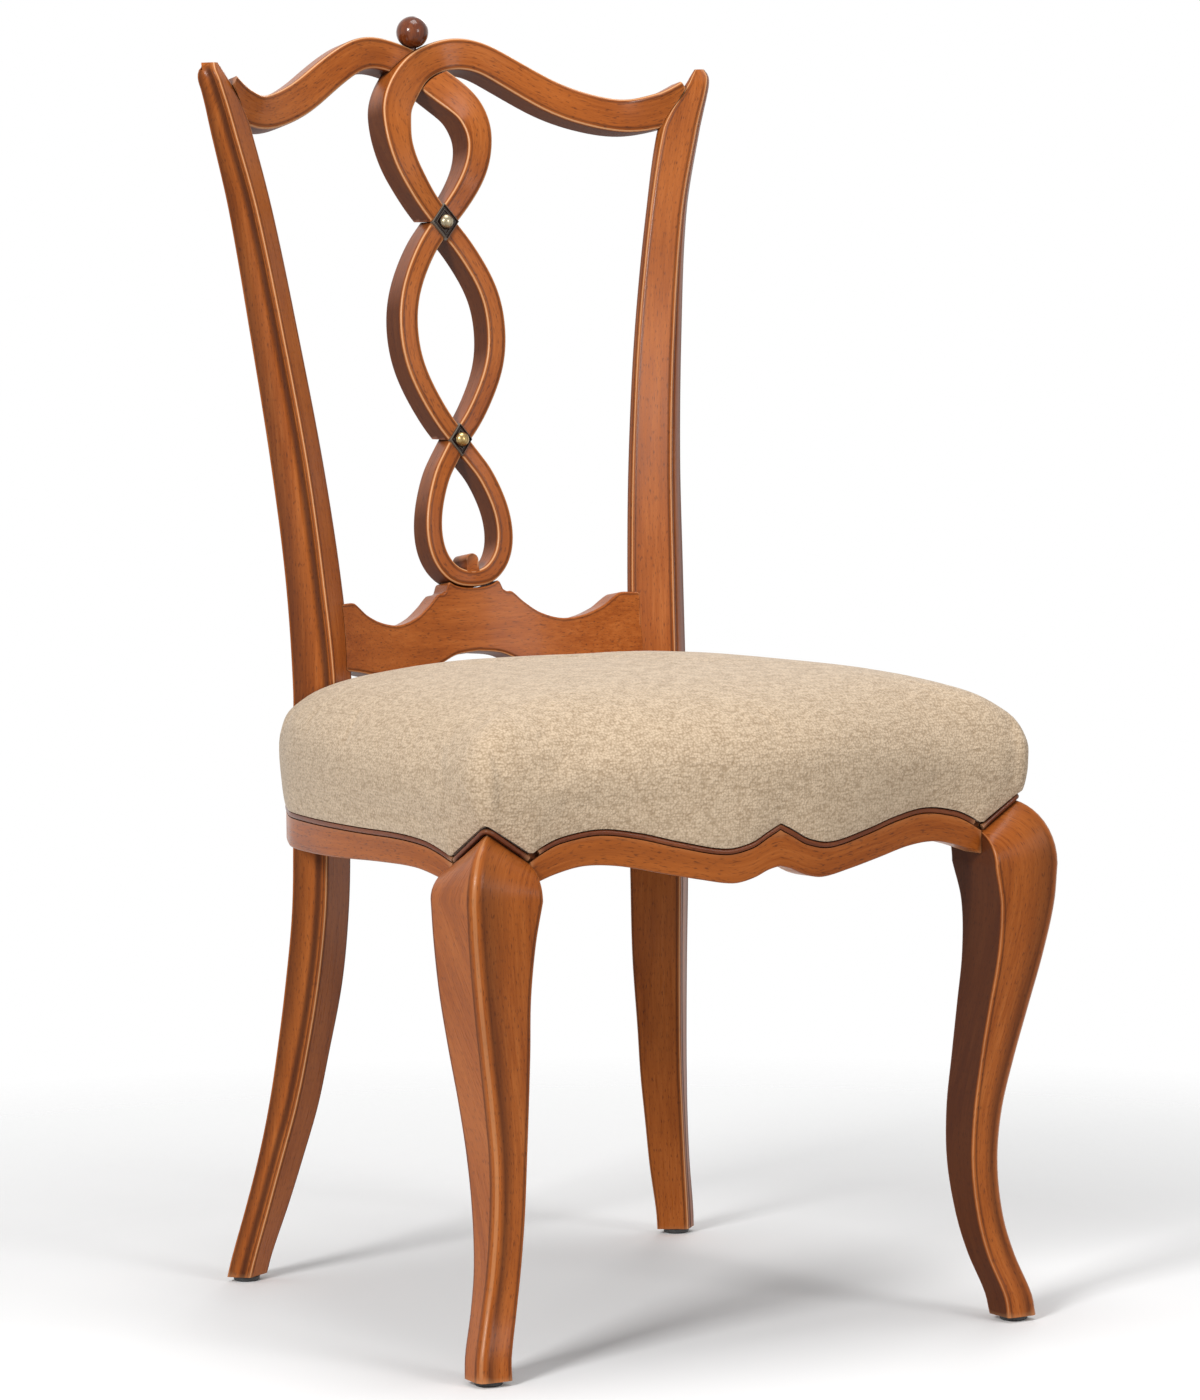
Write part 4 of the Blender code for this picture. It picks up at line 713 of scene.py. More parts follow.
def postRing(z, side):
    radii = [rearPost["edgeRadius"]] * 2 + [rearPost["backRadius"]] * 3
    corners = postPlan(z)
    plan = roundedPlan(corners, radii, 4, 2)
    # the last flat, on the outer face, carries the cove instead of its own points
    plan = plan[:-2]
    back = (corners[-1] - corners[0]).normalized()
    inwards = (corners[1] - corners[0]).normalized()
    depth = rearPost["coveDepth"] * through(rearPost["coveZ"], z)[0]
    for distance, share in rearPost["cove"]:
        plan.append(corners[0] + back * distance + inwards * depth * share)
    return [mirrored((p.x, p.y, z), side) for p in plan]


def postCutter(name, side, low, high, behind=0.0, beyond=0.0):
    rings = []
    for z in spread(low, high, round((high - low) / 0.008) + 1):
        plan = postPlan(z, gap, behind, beyond)
        rings.append([mirrored((p.x, p.y, z), side) for p in plan])
    return loft(name, rings)


def makeRearPost(label, side):
    rows = rearPost["rows"]
    low, high = rows[0][0], rows[-1][0]
    turn = rearPost["topFrom"]
    levels = spread(low, turn, round((turn - low) / rearPost["step"]) + 1)
    levels += spread(turn, high, 13)[1:]
    marks = paintedLightMarks((*rearPost["paintedShade"], 0), 4, 2)[:-2]
    # painted shade in the cove on the outer face
    marks += [0.9 * share for _, share in rearPost["cove"]]
    post = loft(f"rearPost{label.title()}", [postRing(z, side) for z in levels], 0, marks)
    return finishPiece(post, postWood, [f"rear_post_{label}"], 40)


for label, side in sides:
    makeRearPost(label, side)
print("rear posts made")


# Seat rails and the dark bead over them

sideRail = {
    "end": 0.157,
    "rearX": 0.1985,
    "rearY": 0.13,
    "face": (
        (-0.250, -0.0045), (-0.206, 0.0000), (-0.130, 0.0104), (-0.050, 0.0177), (0.000, 0.0202),
        (0.050, 0.0193), (0.080, 0.0162), (0.105, 0.0087), (0.130, 0.0000), (0.165, -0.0138),
    ),
    "bead": (
        (-0.204, 0.3760), (-0.190, 0.3800), (-0.168, 0.3845), (-0.130, 0.3868), (-0.060, 0.3860),
        (0.060, 0.3855), (0.165, 0.3860),
    ),
    "edge": (
        (-0.204, 0.3560), (-0.185, 0.3610), (-0.150, 0.3655), (-0.095, 0.3650), (-0.015, 0.3615),
        (0.060, 0.3600), (0.165, 0.3600),
    ),
    "steps": 61,
}
rearRail = {"y": 0.168, "bow": 0.006, "cornerX": 0.178}


def sideFace(y):
    front = chair["legBlockX"] + chair["rebate"]
    share = (y - chair["legBlockBackY"]) / (sideRail["rearY"] - chair["legBlockBackY"])
    return front + (sideRail["rearX"] - front) * share + through(sideRail["face"], y)[0]


def rearFace(x):
    return rearRail["y"] + rearRail["bow"] * (1 - (x / rearRail["cornerX"]) ** 2)


def beadLift(rows, at, reach=1.0):
    step = 0.002 / reach
    slope = (through(rows, at + step)[0] - through(rows, at - step)[0]) / (2 * step * reach)
    return (chair["beadRadius"] + gap) * math.hypot(1, slope)


def frontSpot(x):
    slope = (frontFace(x + 0.001) - frontFace(x - 0.001)) / 0.002
    half = chair["frontRailHalf"]
    share = abs(x) / half
    return (Vector((x, frontFace(x))), Vector((-slope, 1)).normalized(),
            through(frontRail["bead"], share)[0], beadLift(frontRail["bead"], share, half),
            through(frontRail["edge"], share)[0])


def sideSpot(y, side=1):
    slope = (sideFace(y + 0.001) - sideFace(y - 0.001)) / 0.002
    inwards = Vector((-1, slope)).normalized()
    return (Vector((sideFace(y) * side, y)), Vector((inwards.x * side, inwards.y)),
            through(sideRail["bead"], y)[0], beadLift(sideRail["bead"], y),
            through(sideRail["edge"], y)[0])


def railRing(spot):
    face, inwards, bead, lift, edge = spot
    shelf = bead - lift
    r = frontRail["edgeRadius"]
    top, thick, rebate = chair["frameTop"], frontRail["thick"], chair["rebate"]
    section = [(r * 1.6, edge), (r, edge), (0.42 * r, edge + 0.18 * r), (0.18 * r, edge + 0.42 * r),
               (0, edge + r)]
    section += [(0, z) for z in spread(edge + r, shelf, 5)[1:]]
    section += [(rebate, shelf), (rebate, top), (thick, top), (thick, edge)]
    return [Vector((*(face + inwards * inset), z)) for inset, z in section]


def beadLine(path):
    inset = chair["rebate"] - chair["beadRadius"] - gap
    return [Vector((*(face + inwards * inset), height)) for face, inwards, height, _, _ in path]


def roundRod(name, points, radius, around=20):
    rings = []
    last = len(points) - 1
    for i, point in enumerate(points):
        run = (points[min(i + 1, last)] - points[max(i - 1, 0)]).normalized()
        across = run.cross(Vector((0, 0, 1))).normalized()
        up = across.cross(run)
        rings.append([point + (across * math.cos(math.tau * k / around)
                               + up * math.sin(math.tau * k / around)) * radius for k in range(around)])
    return loft(name, rings)


def squared(spots, direction, ends=(0, -1)):
    for end in ends:
        spots[end] = (spots[end][0], Vector(direction), *spots[end][2:])
    return spots


half = chair["frontRailHalf"] - gap
frontPath = squared([frontSpot(x) for x in spread(-half, half, frontRail["steps"])], (0, 1))
rail = loft("frontRail", [railRing(spot) for spot in frontPath])
finishPiece(rail, railWood, ["front_rail"])
finishPiece(roundRod("frontBead", beadLine(frontPath)[2:-2], chair["beadRadius"]), beadWood,
            ["bead_front"])

for label, side in sides:
    ys = spread(chair["legBlockBackY"] + gap, sideRail["end"], sideRail["steps"])
    path = squared([sideSpot(y, side) for y in ys], (-side, 0), (0,))
    rail = loft(f"sideRail{label.title()}", [railRing(spot) for spot in path])
    carve(rail, [postCutter("sideLap", side, *chair["railNotchZ"], chair["notchReach"])])
    finishPiece(rail, railWood, [f"side_rail_{label}"])
    finishPiece(roundRod(f"sideBead{label.title()}", beadLine(path)[:-3], chair["beadRadius"]),
                beadWood, [f"bead_side_{label}"])

    # the moulding over the leg's cap
    room = chair["beadRadius"] + gap
    inner, back = chair["frontRailHalf"] + 0.0010, chair["legBlockBackY"] - 0.0016
    front = frontFace(chair["frontRailHalf"]) + chair["rebate"] - room
    outer = chair["legBlockX"] + room
    corner = Vector((outer, front))
    line = [Vector((x, front)) for x in spread(inner, outer - 0.006, 8)][:-1]
    line += cornerArc(corner, Vector((inner, front)), Vector((outer, back)), 0.006, 10)
    line += [Vector((outer, y)) for y in spread(front + 0.006, back, 12)][1:]
    points = []
    for p in line:
        shareX = (p.x - inner) / (outer - inner)
        shareY = (p.y - front) / (back - front)
        points.append(mirrored((p.x, p.y, capHeight(shareX, shareY)), side))
    finishPiece(roundRod(f"capBead{label.title()}", points, chair["beadRadius"]), beadWood,
                [f"bead_cap_{label}"])
print("seat rails and beads made")


# Back: interlaced ribbons

ribbons = {
    # x, front, share of the height, width, depth
    "crest": (
        (0.2080, 0.1900, 1.022, 0.0310, 0.0190), (0.1970, 0.1965, 0.962, 0.0290, 0.0215),
        (0.1855, 0.2035, 0.917, 0.0288, 0.0245), (0.1600, 0.2215, 0.877, 0.0270, 0.0262),
        (0.1200, 0.2460, 1.001, 0.0276, 0.0265), (0.0850, 0.2630, 1.217, 0.0270, 0.0275),
        (0.0600, 0.2700, 1.363, 0.0261, 0.0290), (0.0400, 0.2750, 1.408, 0.0262, 0.0305),
        (0.0200, 0.2765, 1.376, 0.0256, 0.0310), (0.0000, 0.2715, 1.284, 0.0262, 0.0310),
        (-0.0182, 0.2600, 1.122, 0.0285, 0.0310), (-0.0314, 0.2475, 0.965, 0.0274, 0.0310),
        (-0.0360, 0.2388, 0.806, 0.0250, 0.0308), (-0.0362, 0.2340, 0.658, 0.0222, 0.0303),
        (-0.0325, 0.2308, 0.500, 0.0210, 0.0296), (-0.0250, 0.2290, 0.342, 0.0200, 0.0288),
        (-0.0140, 0.2295, 0.170, 0.0186, 0.0280), (0.0000, 0.2300, 0.000, 0.0180, 0.0275),
        (0.0085, 0.2300, -0.128, 0.0175, 0.0272),
    ),
    "crestUnder": ((-0.0360, 0.0), (-0.0182, 0.0025), (0.0200, 0.0025), (0.0600, 0.0)),
    "crestUnderShare": 0.85,
    "middle": (
        (0.0085, 0.2312, 1.071, 0.0175, 0.0275), (0.0000, 0.2300, 1.000, 0.0172, 0.0275),
        (-0.0168, 0.2275, 0.886, 0.0170, 0.0275), (-0.0345, 0.2210, 0.700, 0.0168, 0.0274),
        (-0.0400, 0.2166, 0.518, 0.0168, 0.0271), (-0.0350, 0.2124, 0.324, 0.0165, 0.0267),
        (-0.0162, 0.2090, 0.116, 0.0160, 0.0261), (0.0000, 0.2078, 0.000, 0.0155, 0.0258),
        (0.0085, 0.2068, -0.070, 0.0150, 0.0258),
    ),
    "loop": (
        (0.0085, 0.2088, 1.115, 0.0152, 0.0258), (0.0000, 0.2078, 1.000, 0.0150, 0.0258),
        (-0.0106, 0.2046, 0.868, 0.0150, 0.0257), (-0.0204, 0.2006, 0.737, 0.0146, 0.0256),
        (-0.0297, 0.1950, 0.516, 0.0144, 0.0255), (-0.0321, 0.1912, 0.314, 0.0146, 0.0255),
        (-0.0276, 0.1888, 0.150, 0.0148, 0.0255), (-0.0160, 0.1874, 0.033, 0.0144, 0.0255),
        (0.0000, 0.1865, 0.000, 0.0128, 0.0255), (0.0120, 0.1868, 0.018, 0.0134, 0.0255),
    ),
    "frontRadius": 0.0032,
    "backRadius": 0.0025,
    "steps": 9,
    "easing": 12,
    "trimReach": 0.06,
    "trimY": (0.100, 0.400),
    "mitreReach": 0.022,
    "lapReach": 0.07,
    "lapY": 0.287,
    # painted shade on each face of the ribbons, darkest on the sides
    "paintedShade": (0, 0.85, 0.3, 0.85),  # front, one side, back, other side
}
ribbonMarks = paintedLightMarks(ribbons["paintedShade"])
crossRail = {
    "top": (
        (0.0000, 0.5480), (0.0060, 0.5482), (0.0120, 0.5490), (0.0180, 0.5508), (0.0215, 0.5528),
        (0.0232, 0.5520), (0.0255, 0.5465), (0.0290, 0.5442), (0.0335, 0.5438), (0.0425, 0.5357),
        (0.0560, 0.5264), (0.0740, 0.5212), (0.0920, 0.5238), (0.1070, 0.5305), (0.1160, 0.5376),
        (0.1210, 0.5409), (0.1300, 0.5410), (0.1480, 0.5410),
    ),
    "bottom": (
        (0.0000, 0.4970), (0.0200, 0.4948), (0.0350, 0.4886), (0.0520, 0.4812), (0.0720, 0.4788),
        (0.0950, 0.4810), (0.1200, 0.4862), (0.1480, 0.4902),
    ),
    "depth": 0.0245,
    "edgeRadius": 0.002,
    "y": 0.187,
    "bow": 1.69,
    "footRise": 0.007,
    "steps": 75,
    # painted shade on each face of the cross rail, darkest underneath
    "paintedShade": (0.7, 0.3, 0.3, 0),  # underside, back, top, front
}
nub = {"radius": 0.0056, "rise": 0.015, "setBack": 0.0006, "steps": 24}


def stations(rows, low, high):
    return [(x, y, low + share * (high - low), width, depth) for x, y, share, width, depth in rows]


def crestStations(side):
    rows = []
    for x, y, share, width, depth in ribbons["crest"]:
        under = 0
        if side < 0 and share > ribbons["crestUnderShare"]:
            under = through(ribbons["crestUnder"], x)[0]
        rows.append((x, y + under, share, width, depth - under))
    return stations(rows, chair["upperCrossingZ"], chair["crestEndZ"])


def lapDistance(point):
    return (point[1] - ribbons["lapY"]) * rakeCosine - (point[2] - crestCrossingZ) * rakeSine


def eased(path, passes):
    # takes the small kinks out of a path and keeps its ends
    for _ in range(passes):
        inner = [[(a + 2 * b + c) / 4 for a, b, c in zip(*three)]
                 for three in zip(path, path[1:], path[2:])]
        path = [path[0], *inner, path[-1]]
    return path


def ribbonRings(rows, side=1, slab=None):
    path = eased(spline(rows, ribbons["steps"]), ribbons["easing"])
    last = len(path) - 1
    rings = []
    for i, (x, y, z, width, depth) in enumerate(path):
        before, after = path[max(i - 1, 0)], path[min(i + 1, last)]
        along = Vector((after[0] - before[0], after[2] - before[2])).normalized()
        half, start, end = width / 2, 0, depth
        if slab:
            seat = lapDistance((x, y, z))
            half, start, end = half + gap, slab[0] - seat, slab[1] - seat
        section = [Vector((-half, start)), Vector((half, start)), Vector((half, end)),
                   Vector((-half, end))]
        if not slab:
            front, back = ribbons["frontRadius"], ribbons["backRadius"]
            section = roundedPlan(section, [front, front, back, back], 5, 3)
        rings.append([leaning((x, y, z), -along.y * across, along.x * across, deep, side)
                      for across, deep in section])
    return rings


def trim(name, lowX, highX, lowZ, highZ):
    low, high = ribbons["trimY"]
    return block(name, (lowX, low, lowZ), (highX, high, highZ))


def crossingTrim(z, above):
    reach = ribbons["trimReach"]
    if above:
        return trim("crossingTrim", -reach, reach, z - reach, z + gap / 2)
    return trim("crossingTrim", -reach, reach, z - gap / 2, z + reach)


def sideTrim(side, low, high):
    reach = ribbons["trimReach"]
    if side > 0:
        return trim("sideTrim", -reach, gap / 2, low, high)
    return trim("sideTrim", -gap / 2, reach, low, high)


upperZ, lowerZ = chair["upperCrossingZ"], chair["lowerCrossingZ"]
mitre = ribbons["mitreReach"]
crests = {}
for label, side in (("right", 1), ("left", -1)):
    crest = loft(f"crest{label.title()}", ribbonRings(crestStations(side), side), 0.4 * side,
                 ribbonMarks)
    carve(crest, [crossingTrim(upperZ, True), sideTrim(-side, upperZ - mitre, upperZ + mitre),
                  postCutter("shoulder", side, *chair["crestShoulderZ"],
                             chair["shoulderReach"], chair["shoulderReach"])])
    crests[label] = crest
middles = {}
for label, side in (("left", 1), ("right", -1)):
    strand = loft(f"middle{label.title()}",
                  ribbonRings(stations(ribbons["middle"], lowerZ, upperZ), side), 0.2 * side,
                  ribbonMarks)
    carve(strand, [crossingTrim(upperZ, False), crossingTrim(lowerZ, True),
                   sideTrim(-side, lowerZ - mitre, upperZ + mitre)])
    middles[label] = strand

slabs = [(1, -ribbons["lapReach"], gap / 2), (-1, -gap / 2, ribbons["lapReach"])]
for label, (side, low, high) in zip(("left", "right"), slabs):
    tool = loft("lap", ribbonRings(crestStations(side)[5:13], side, (low, high)))
    carve(crests[label], [tool])

footZ = crossRail["top"][0][1] + crossRail["footRise"]
loopRows = stations(ribbons["loop"], footZ, lowerZ)
lowerLoop = loft("lowerLoop", ribbonRings(loopRows), 0, ribbonMarks)
carve(lowerLoop, [crossingTrim(lowerZ, False)])
mirror = lowerLoop.modifiers.new("otherHalf", "MIRROR")
mirror.use_bisect_axis = (True, False, False)
mirror.use_bisect_flip_axis = (True, False, False)
mirror.merge_threshold = 0.00005
bake(lowerLoop)
x, front, foot, _, depth = loopRows[-2]
outline = [(-nub["radius"], 0), (nub["radius"], 0)]
for i in range(nub["steps"] + 1):
    turn = math.pi * i / nub["steps"]
    outline.append((nub["radius"] * math.cos(turn), nub["rise"] + nub["radius"] * math.sin(turn)))
layers = ((nub["setBack"] + 0.0012, 1.0), (nub["setBack"] + 0.0004, 0.97), (nub["setBack"], 0.88))
rings = [[leaning((x, front, foot), across * share, nub["rise"] + (up - nub["rise"]) * share, deep)
          for across, up in outline]
         for deep, share in ((depth - nub["setBack"], 1.0), *layers)]
carve(lowerLoop, [loft("nub", rings)], "UNION")

halfWidth = crossRail["top"][-1][0]
middleZ = crossRail["top"][0][1]
rings = []
for x in sorted({s * x for s in (-1, 1) for x in [row[0] for row in crossRail["top"]]
                 + spread(0, halfWidth, crossRail["steps"])}):
    face = (x, crossRail["y"] - crossRail["bow"] * x * x, middleZ)
    low = (through(crossRail["bottom"], abs(x))[0] - middleZ) / rakeCosine
    high = (through(crossRail["top"], abs(x))[0] - middleZ) / rakeCosine
    corners = [Vector((0, low)), Vector((crossRail["depth"], low)),
               Vector((crossRail["depth"], high)), Vector((0, high))]
    rings.append([leaning(face, 0, p.y, p.x)
                  for p in roundedPlan(corners, [crossRail["edgeRadius"]] * 4)])
backRail = loft("crossRail", rings, 0, paintedLightMarks(crossRail["paintedShade"]))
carve(backRail, [postCutter("crossShoulder", side, *chair["crossShoulderZ"]) for _, side in sides])
print("ribbons and cross rail made")


# Lozenges, studs and the ball

lozenge = {
    "upper": (0.0121, 0.0149),
    "lower": (0.0100, 0.01325),
    "thick": 0.005,
    "sunk": 0.0025,
    "rim": 0.0013,
    "rimWidth": 0.0009,
    "well": 0.0016,
}
stud = {"radius": 0.006, "rise": 0.005, "shank": 0.0022, "length": 0.006}
ball = {"radius": 0.0131, "y": 0.2825, "rise": 0.0288, "stem": 0.003,
        "bite": 0.001}


def lozengeRing(halves, inset, centre, deep):
    wide, high = halves
    share = 1 - inset / wide
    return [leaning(centre, wide * share * x, high * share * up, deep)
            for x, up in ((1, 0), (0, 1), (-1, 0), (0, -1))]


def crossingBoss(label, centre, strands, metal):
    halves = lozenge[label]
    face = lozenge["sunk"] - lozenge["thick"]
    levels = ((lozenge["sunk"], 0), (face + 0.0006, 0), (face, 0.0004), (face, lozenge["rimWidth"]),
              (face + lozenge["well"], lozenge["rimWidth"] + 0.0007),
              (face + lozenge["well"], lozenge["rimWidth"] + 0.0022),
              (face + lozenge["well"] * 0.35, lozenge["rimWidth"] + 0.0028),
              (face + lozenge["well"] * 0.35, lozenge["rimWidth"] + 0.0034),
              (face + lozenge["well"], lozenge["rimWidth"] + 0.0040))
    plate = loft(f"lozenge{label.title()}",
                 [lozengeRing(halves, inset, centre, deep) for deep, inset in levels])
    finishPiece(plate, ebonisedWood, [f"diamond_{label}"], 25)
    for piece in strands:
        recess = loft("recess", [lozengeRing(halves, -gap, centre, lozenge["sunk"] + gap),
                                 lozengeRing(halves, -gap, centre, -ribbons["lapReach"])])
        carve(piece, [recess])
    dome = []
    for i in range(13):
        turn = math.pi / 2 * i / 12
        dome.append((stud["radius"] * math.sin(turn), stud["rise"] * math.cos(turn)))
    profile = dome + [(stud["radius"] * 0.97, -0.0004), (stud["shank"], -0.0004),
                      (stud["shank"], -stud["length"]), (0, -stud["length"])]
    head = turned(f"stud{label.title()}", profile)
    turnTo(head, leaning(centre, 0, 0, face - gap), leaning((0, 0, 0), 0, 0, -1))
    finishPiece(head, metal, [f"stud_{label}"])


crossingBoss("upper", (0, ribbons["middle"][1][1], upperZ), [*crests.values(), *middles.values()],
             agedBronze)
crossingBoss("lower", (0, ribbons["middle"][-2][1], lowerZ), [*middles.values(), lowerLoop], warmBronze)

centre = Vector((0, ball["y"], crestCrossingZ + ball["rise"]))
radius, stem = ball["radius"], ball["stem"]
foot = -math.sqrt(radius ** 2 - stem ** 2)
profile = [(radius * math.sin(math.pi * i / 32), radius * math.cos(math.pi * i / 32)) for i in range(32)]
profile = [point for point in profile if point[1] > foot]
profile += [(stem, foot), (stem, ball["bite"] - ball["rise"]), (0, ball["bite"] - ball["rise"])]
for piece in crests.values():
    seat = turned("ballSeat", [((radius + gap) * math.sin(math.pi * i / 24),
                                (radius + gap) * math.cos(math.pi * i / 24)) for i in range(25)])
    turnTo(seat, centre, (0, 0, 1))
    carve(piece, [seat])
finial = turned("ballFinial", profile, 56)
turnTo(finial, centre, (0, 0, 1))
finishPiece(finial, ballWood, ["ball_finial"], 60)

for label, piece in crests.items():
    finishPiece(piece, ribbonWood, [f"crest_rail_{label}"])
for label, piece in middles.items():
    finishPiece(piece, ribbonWood, [f"splat_middle_{label}"])
finishPiece(lowerLoop, ribbonWood, ["splat_lower_loop"])
finishPiece(backRail, crossRailWood, ["back_cross_rail"])
print("lozenges, studs and ball made")


# Cushion

cushion = {
    "around": 480,
    "railPoints": 61,
    "capPoints": 9,
    "rearPoints": 25,
    "rearX": 0.162,  # where the line turns to run along the rear rail
    "pastRail": 0.004,
    "floor": 0.0028,  # over the frame's top
    # outward bulge and height over the bead, then outward bulge and height
    "side": (
        (-0.0035, 0.0000), (0.0008, 0.0000), (0.0036, 0.0130), (0.0052, 0.0360),
    ),
    "waistZ": 0.43,
    "shoulder": (
        (0.0048, 0.4420), (0.0006, 0.4570), (-0.0095, 0.4690), (-0.0350, 0.4810),
    ),
    "full": ((-0.290, 1.40), (-0.180, 1.15), (-0.060, 0.85), (0.100, 0.60), (0.180, 1.00)),
    "fall": ((-0.290, 0.0000), (0.040, 0.0000), (0.110, 0.0015), (0.180, 0.0045)),
    "crown": (0.80, 0.58, 0.40, 0.25, 0.12, 0.03),
    "crownZ": 0.505,
    "centreY": -0.05,
    "turn": 0.004,
    # passes that round the plan's corners, row by row from the floor up
    "rounding": (0, 0, 0, 2, 12, 20, 36, 60, 80, 90, 100, 110, 120, 120, 120),
    # how much fuller the front corners are, by height
    "cornerFull": ((0.395, 0.0), (0.410, 0.001), (0.428, 0.005), (0.445, 0.0065), (0.458, 0.005),
                   (0.470, 0.002), (0.485, 0.0)),
    "cornerWide": 0.050,
    "cornerShare": 0.7,  # of that fullness along each axis
    # points from each row to the next
    "perSpan": (1, 1, 4, 5, 3, 4, 4, 5, 7, 7, 6, 5, 4, 3),
    "pressure": 4.0,
    "frames": 20,
    "cap": 0.006,
    "free": (0.004, 0.024),  # heights over the bead where the cover comes loose from its nails
    # the tuck in the cover beside each front corner
    "tuck": {"x": 0.226, "y": -0.20, "z": 0.446, "wide": 0.030, "start": 0.005, "tall": 0.022,
             "deep": 0.0055, "downwards": 1.5},
    "notchZ": (0.36, 0.53),
}


def seatLine():
    # the seat's line from the middle of its front to the middle of its back, and the height
    # where the cover starts
    half, back = chair["frontRailHalf"], chair["legBlockBackY"]
    alongFront = map(frontSpot, spread(0, half - gap, cushion["railPoints"]))
    line = [(spot[0], spot[2] + spot[3]) for spot in alongFront]
    x, y = chair["legBlockX"] + chair["rebate"], frontFace(half)
    lift = frontLeg["capLift"] + gap
    for share in spread(0.06, 0.97, cushion["capPoints"]):
        line.append((Vector((half + (x - half) * share, y)), capHeight(share, 0) + lift + gap))
    for share in spread(0.03, 0.94, cushion["capPoints"]):
        line.append((Vector((x, y + (back - y) * share)), capHeight(1, share) + lift))
    end = sideRail["end"] + cushion["pastRail"]
    alongSide = map(sideSpot, spread(back + gap, end, cushion["railPoints"]))
    line += [(spot[0], spot[2] + spot[3]) for spot in alongSide]
    rearZ = sideRail["bead"][-1][1] + chair["beadRadius"] + gap
    line += [(Vector((x, rearFace(x))), rearZ) for x in spread(cushion["rearX"], 0, cushion["rearPoints"])]
    return line + [(Vector((-p.x, p.y)), z) for p, z in reversed(line[1:-1])]


def evenly(line, count):
    # the closed line again, with points at even distances
    closed = line + [line[0]]
    along = [0.0]
    for (a, _), (b, _) in zip(closed, closed[1:]):
        along.append(along[-1] + (b - a).length)
    made, k = [], 0
    for i in range(count):
        at = along[-1] * i / count
        while along[k + 1] < at:
            k += 1
        share = (at - along[k]) / max(along[k + 1] - along[k], 1e-9)
        made.append((closed[k][0].lerp(closed[k + 1][0], share),
                     closed[k][1] + (closed[k + 1][1] - closed[k][1]) * share))
    return made


def coverRings(line):
    # rows of points from the frame up the side and over the crown
    count = len(line)
    centre = Vector((0, cushion["centreY"]))
    outwards = []
    for i in range(count):
        along = (line[(i + 1) % count][0] - line[i - 1][0]).normalized()
        outwards.append(Vector((along.y, -along.x)))
    side, turn = cushion["side"], cushion["turn"]
    rows = [(side[0][0], [chair["frameTop"] + cushion["floor"]] * count)]
    rows += [(offset, [min(z + rise, cushion["waistZ"]) for _, z in line]) for offset, rise in side]
    rows += [(offset, [z] * count) for offset, z in cushion["shoulder"]]
    plans, heights = [], []
    for offset, zs in rows:
        plan = []
        for (p, _), n in zip(line, outwards):
            inwards = (centre - p).normalized() * max(-offset - turn, 0)
            reach = offset * through(cushion["full"], p.y)[0] if offset > 0 else offset
            plan.append(p + n * max(reach, -turn) + inwards)
        plans.append(plan)
        heights.append(zs)
    edgeZ, rim = cushion["shoulder"][-1][1], plans[-1]
    for share in cushion["crown"]:
        plans.append([centre.lerp(p, share) for p in rim])
        heights.append([edgeZ + (cushion["crownZ"] - edgeZ) * (1 - share ** 2)] * count)
    corner = Vector((chair["legBlockX"] + chair["rebate"], frontFace(chair["frontRailHalf"])))
    rings = []
    for i, (plan, zs, passes) in enumerate(zip(plans, heights, cushion["rounding"])):
        for _ in range(passes):
            plan = [p / 2 + (plan[k - 1] + plan[(k + 1) % count]) / 4 for k, p in enumerate(plan)]
        ring = []
        for p, z in zip(plan, zs):
            side = 1 if p.x > 0 else -1
            away = (Vector((abs(p.x), p.y)) - corner).length / cushion["cornerWide"]
            push = through(cushion["cornerFull"], z)[0] * math.exp(-away ** 2) * cushion["cornerShare"]
            fall = through(cushion["fall"], p.y)[0] if i > len(rows) - 3 else 0
            ring.append(Vector((p.x + side * push, p.y - push, z - fall)))
        rings.append(ring)
    columns = []
    for column in zip(*rings):
        made = []
        for k, steps in enumerate(cushion["perSpan"]):
            part = column[max(k - 1, 0):k + 3]
            made += spline(part, steps)[(steps if k else 0):(2 * steps if k else steps)]
        columns.append(made + [list(rings[-1][len(columns)])])
    return [[Vector(point) for point in ring] for ring in zip(*columns)]


def stuff(pad, held):
    # the padding swells inside its cover, which stays nailed along the bead
    group = pad.vertex_groups.new(name="held")
    for i, share in enumerate(held):
        if share > 0:
            group.add([i], share, "REPLACE")
    cloth = pad.modifiers.new("stuffing", "CLOTH")
    settings = cloth.settings
    settings.use_pressure = True
    settings.uniform_pressure_force = cushion["pressure"]
    settings.effector_weights.gravity = 0
    settings.vertex_group_mass = "held"
    cloth.collision_settings.use_collision = False
    cloth.point_cache.frame_end = cushion["frames"]
    for number in range(1, cushion["frames"] + 1):
        bpy.context.scene.frame_set(number)
    bake(pad)
    bpy.context.scene.frame_set(1)
    pad.vertex_groups.clear()


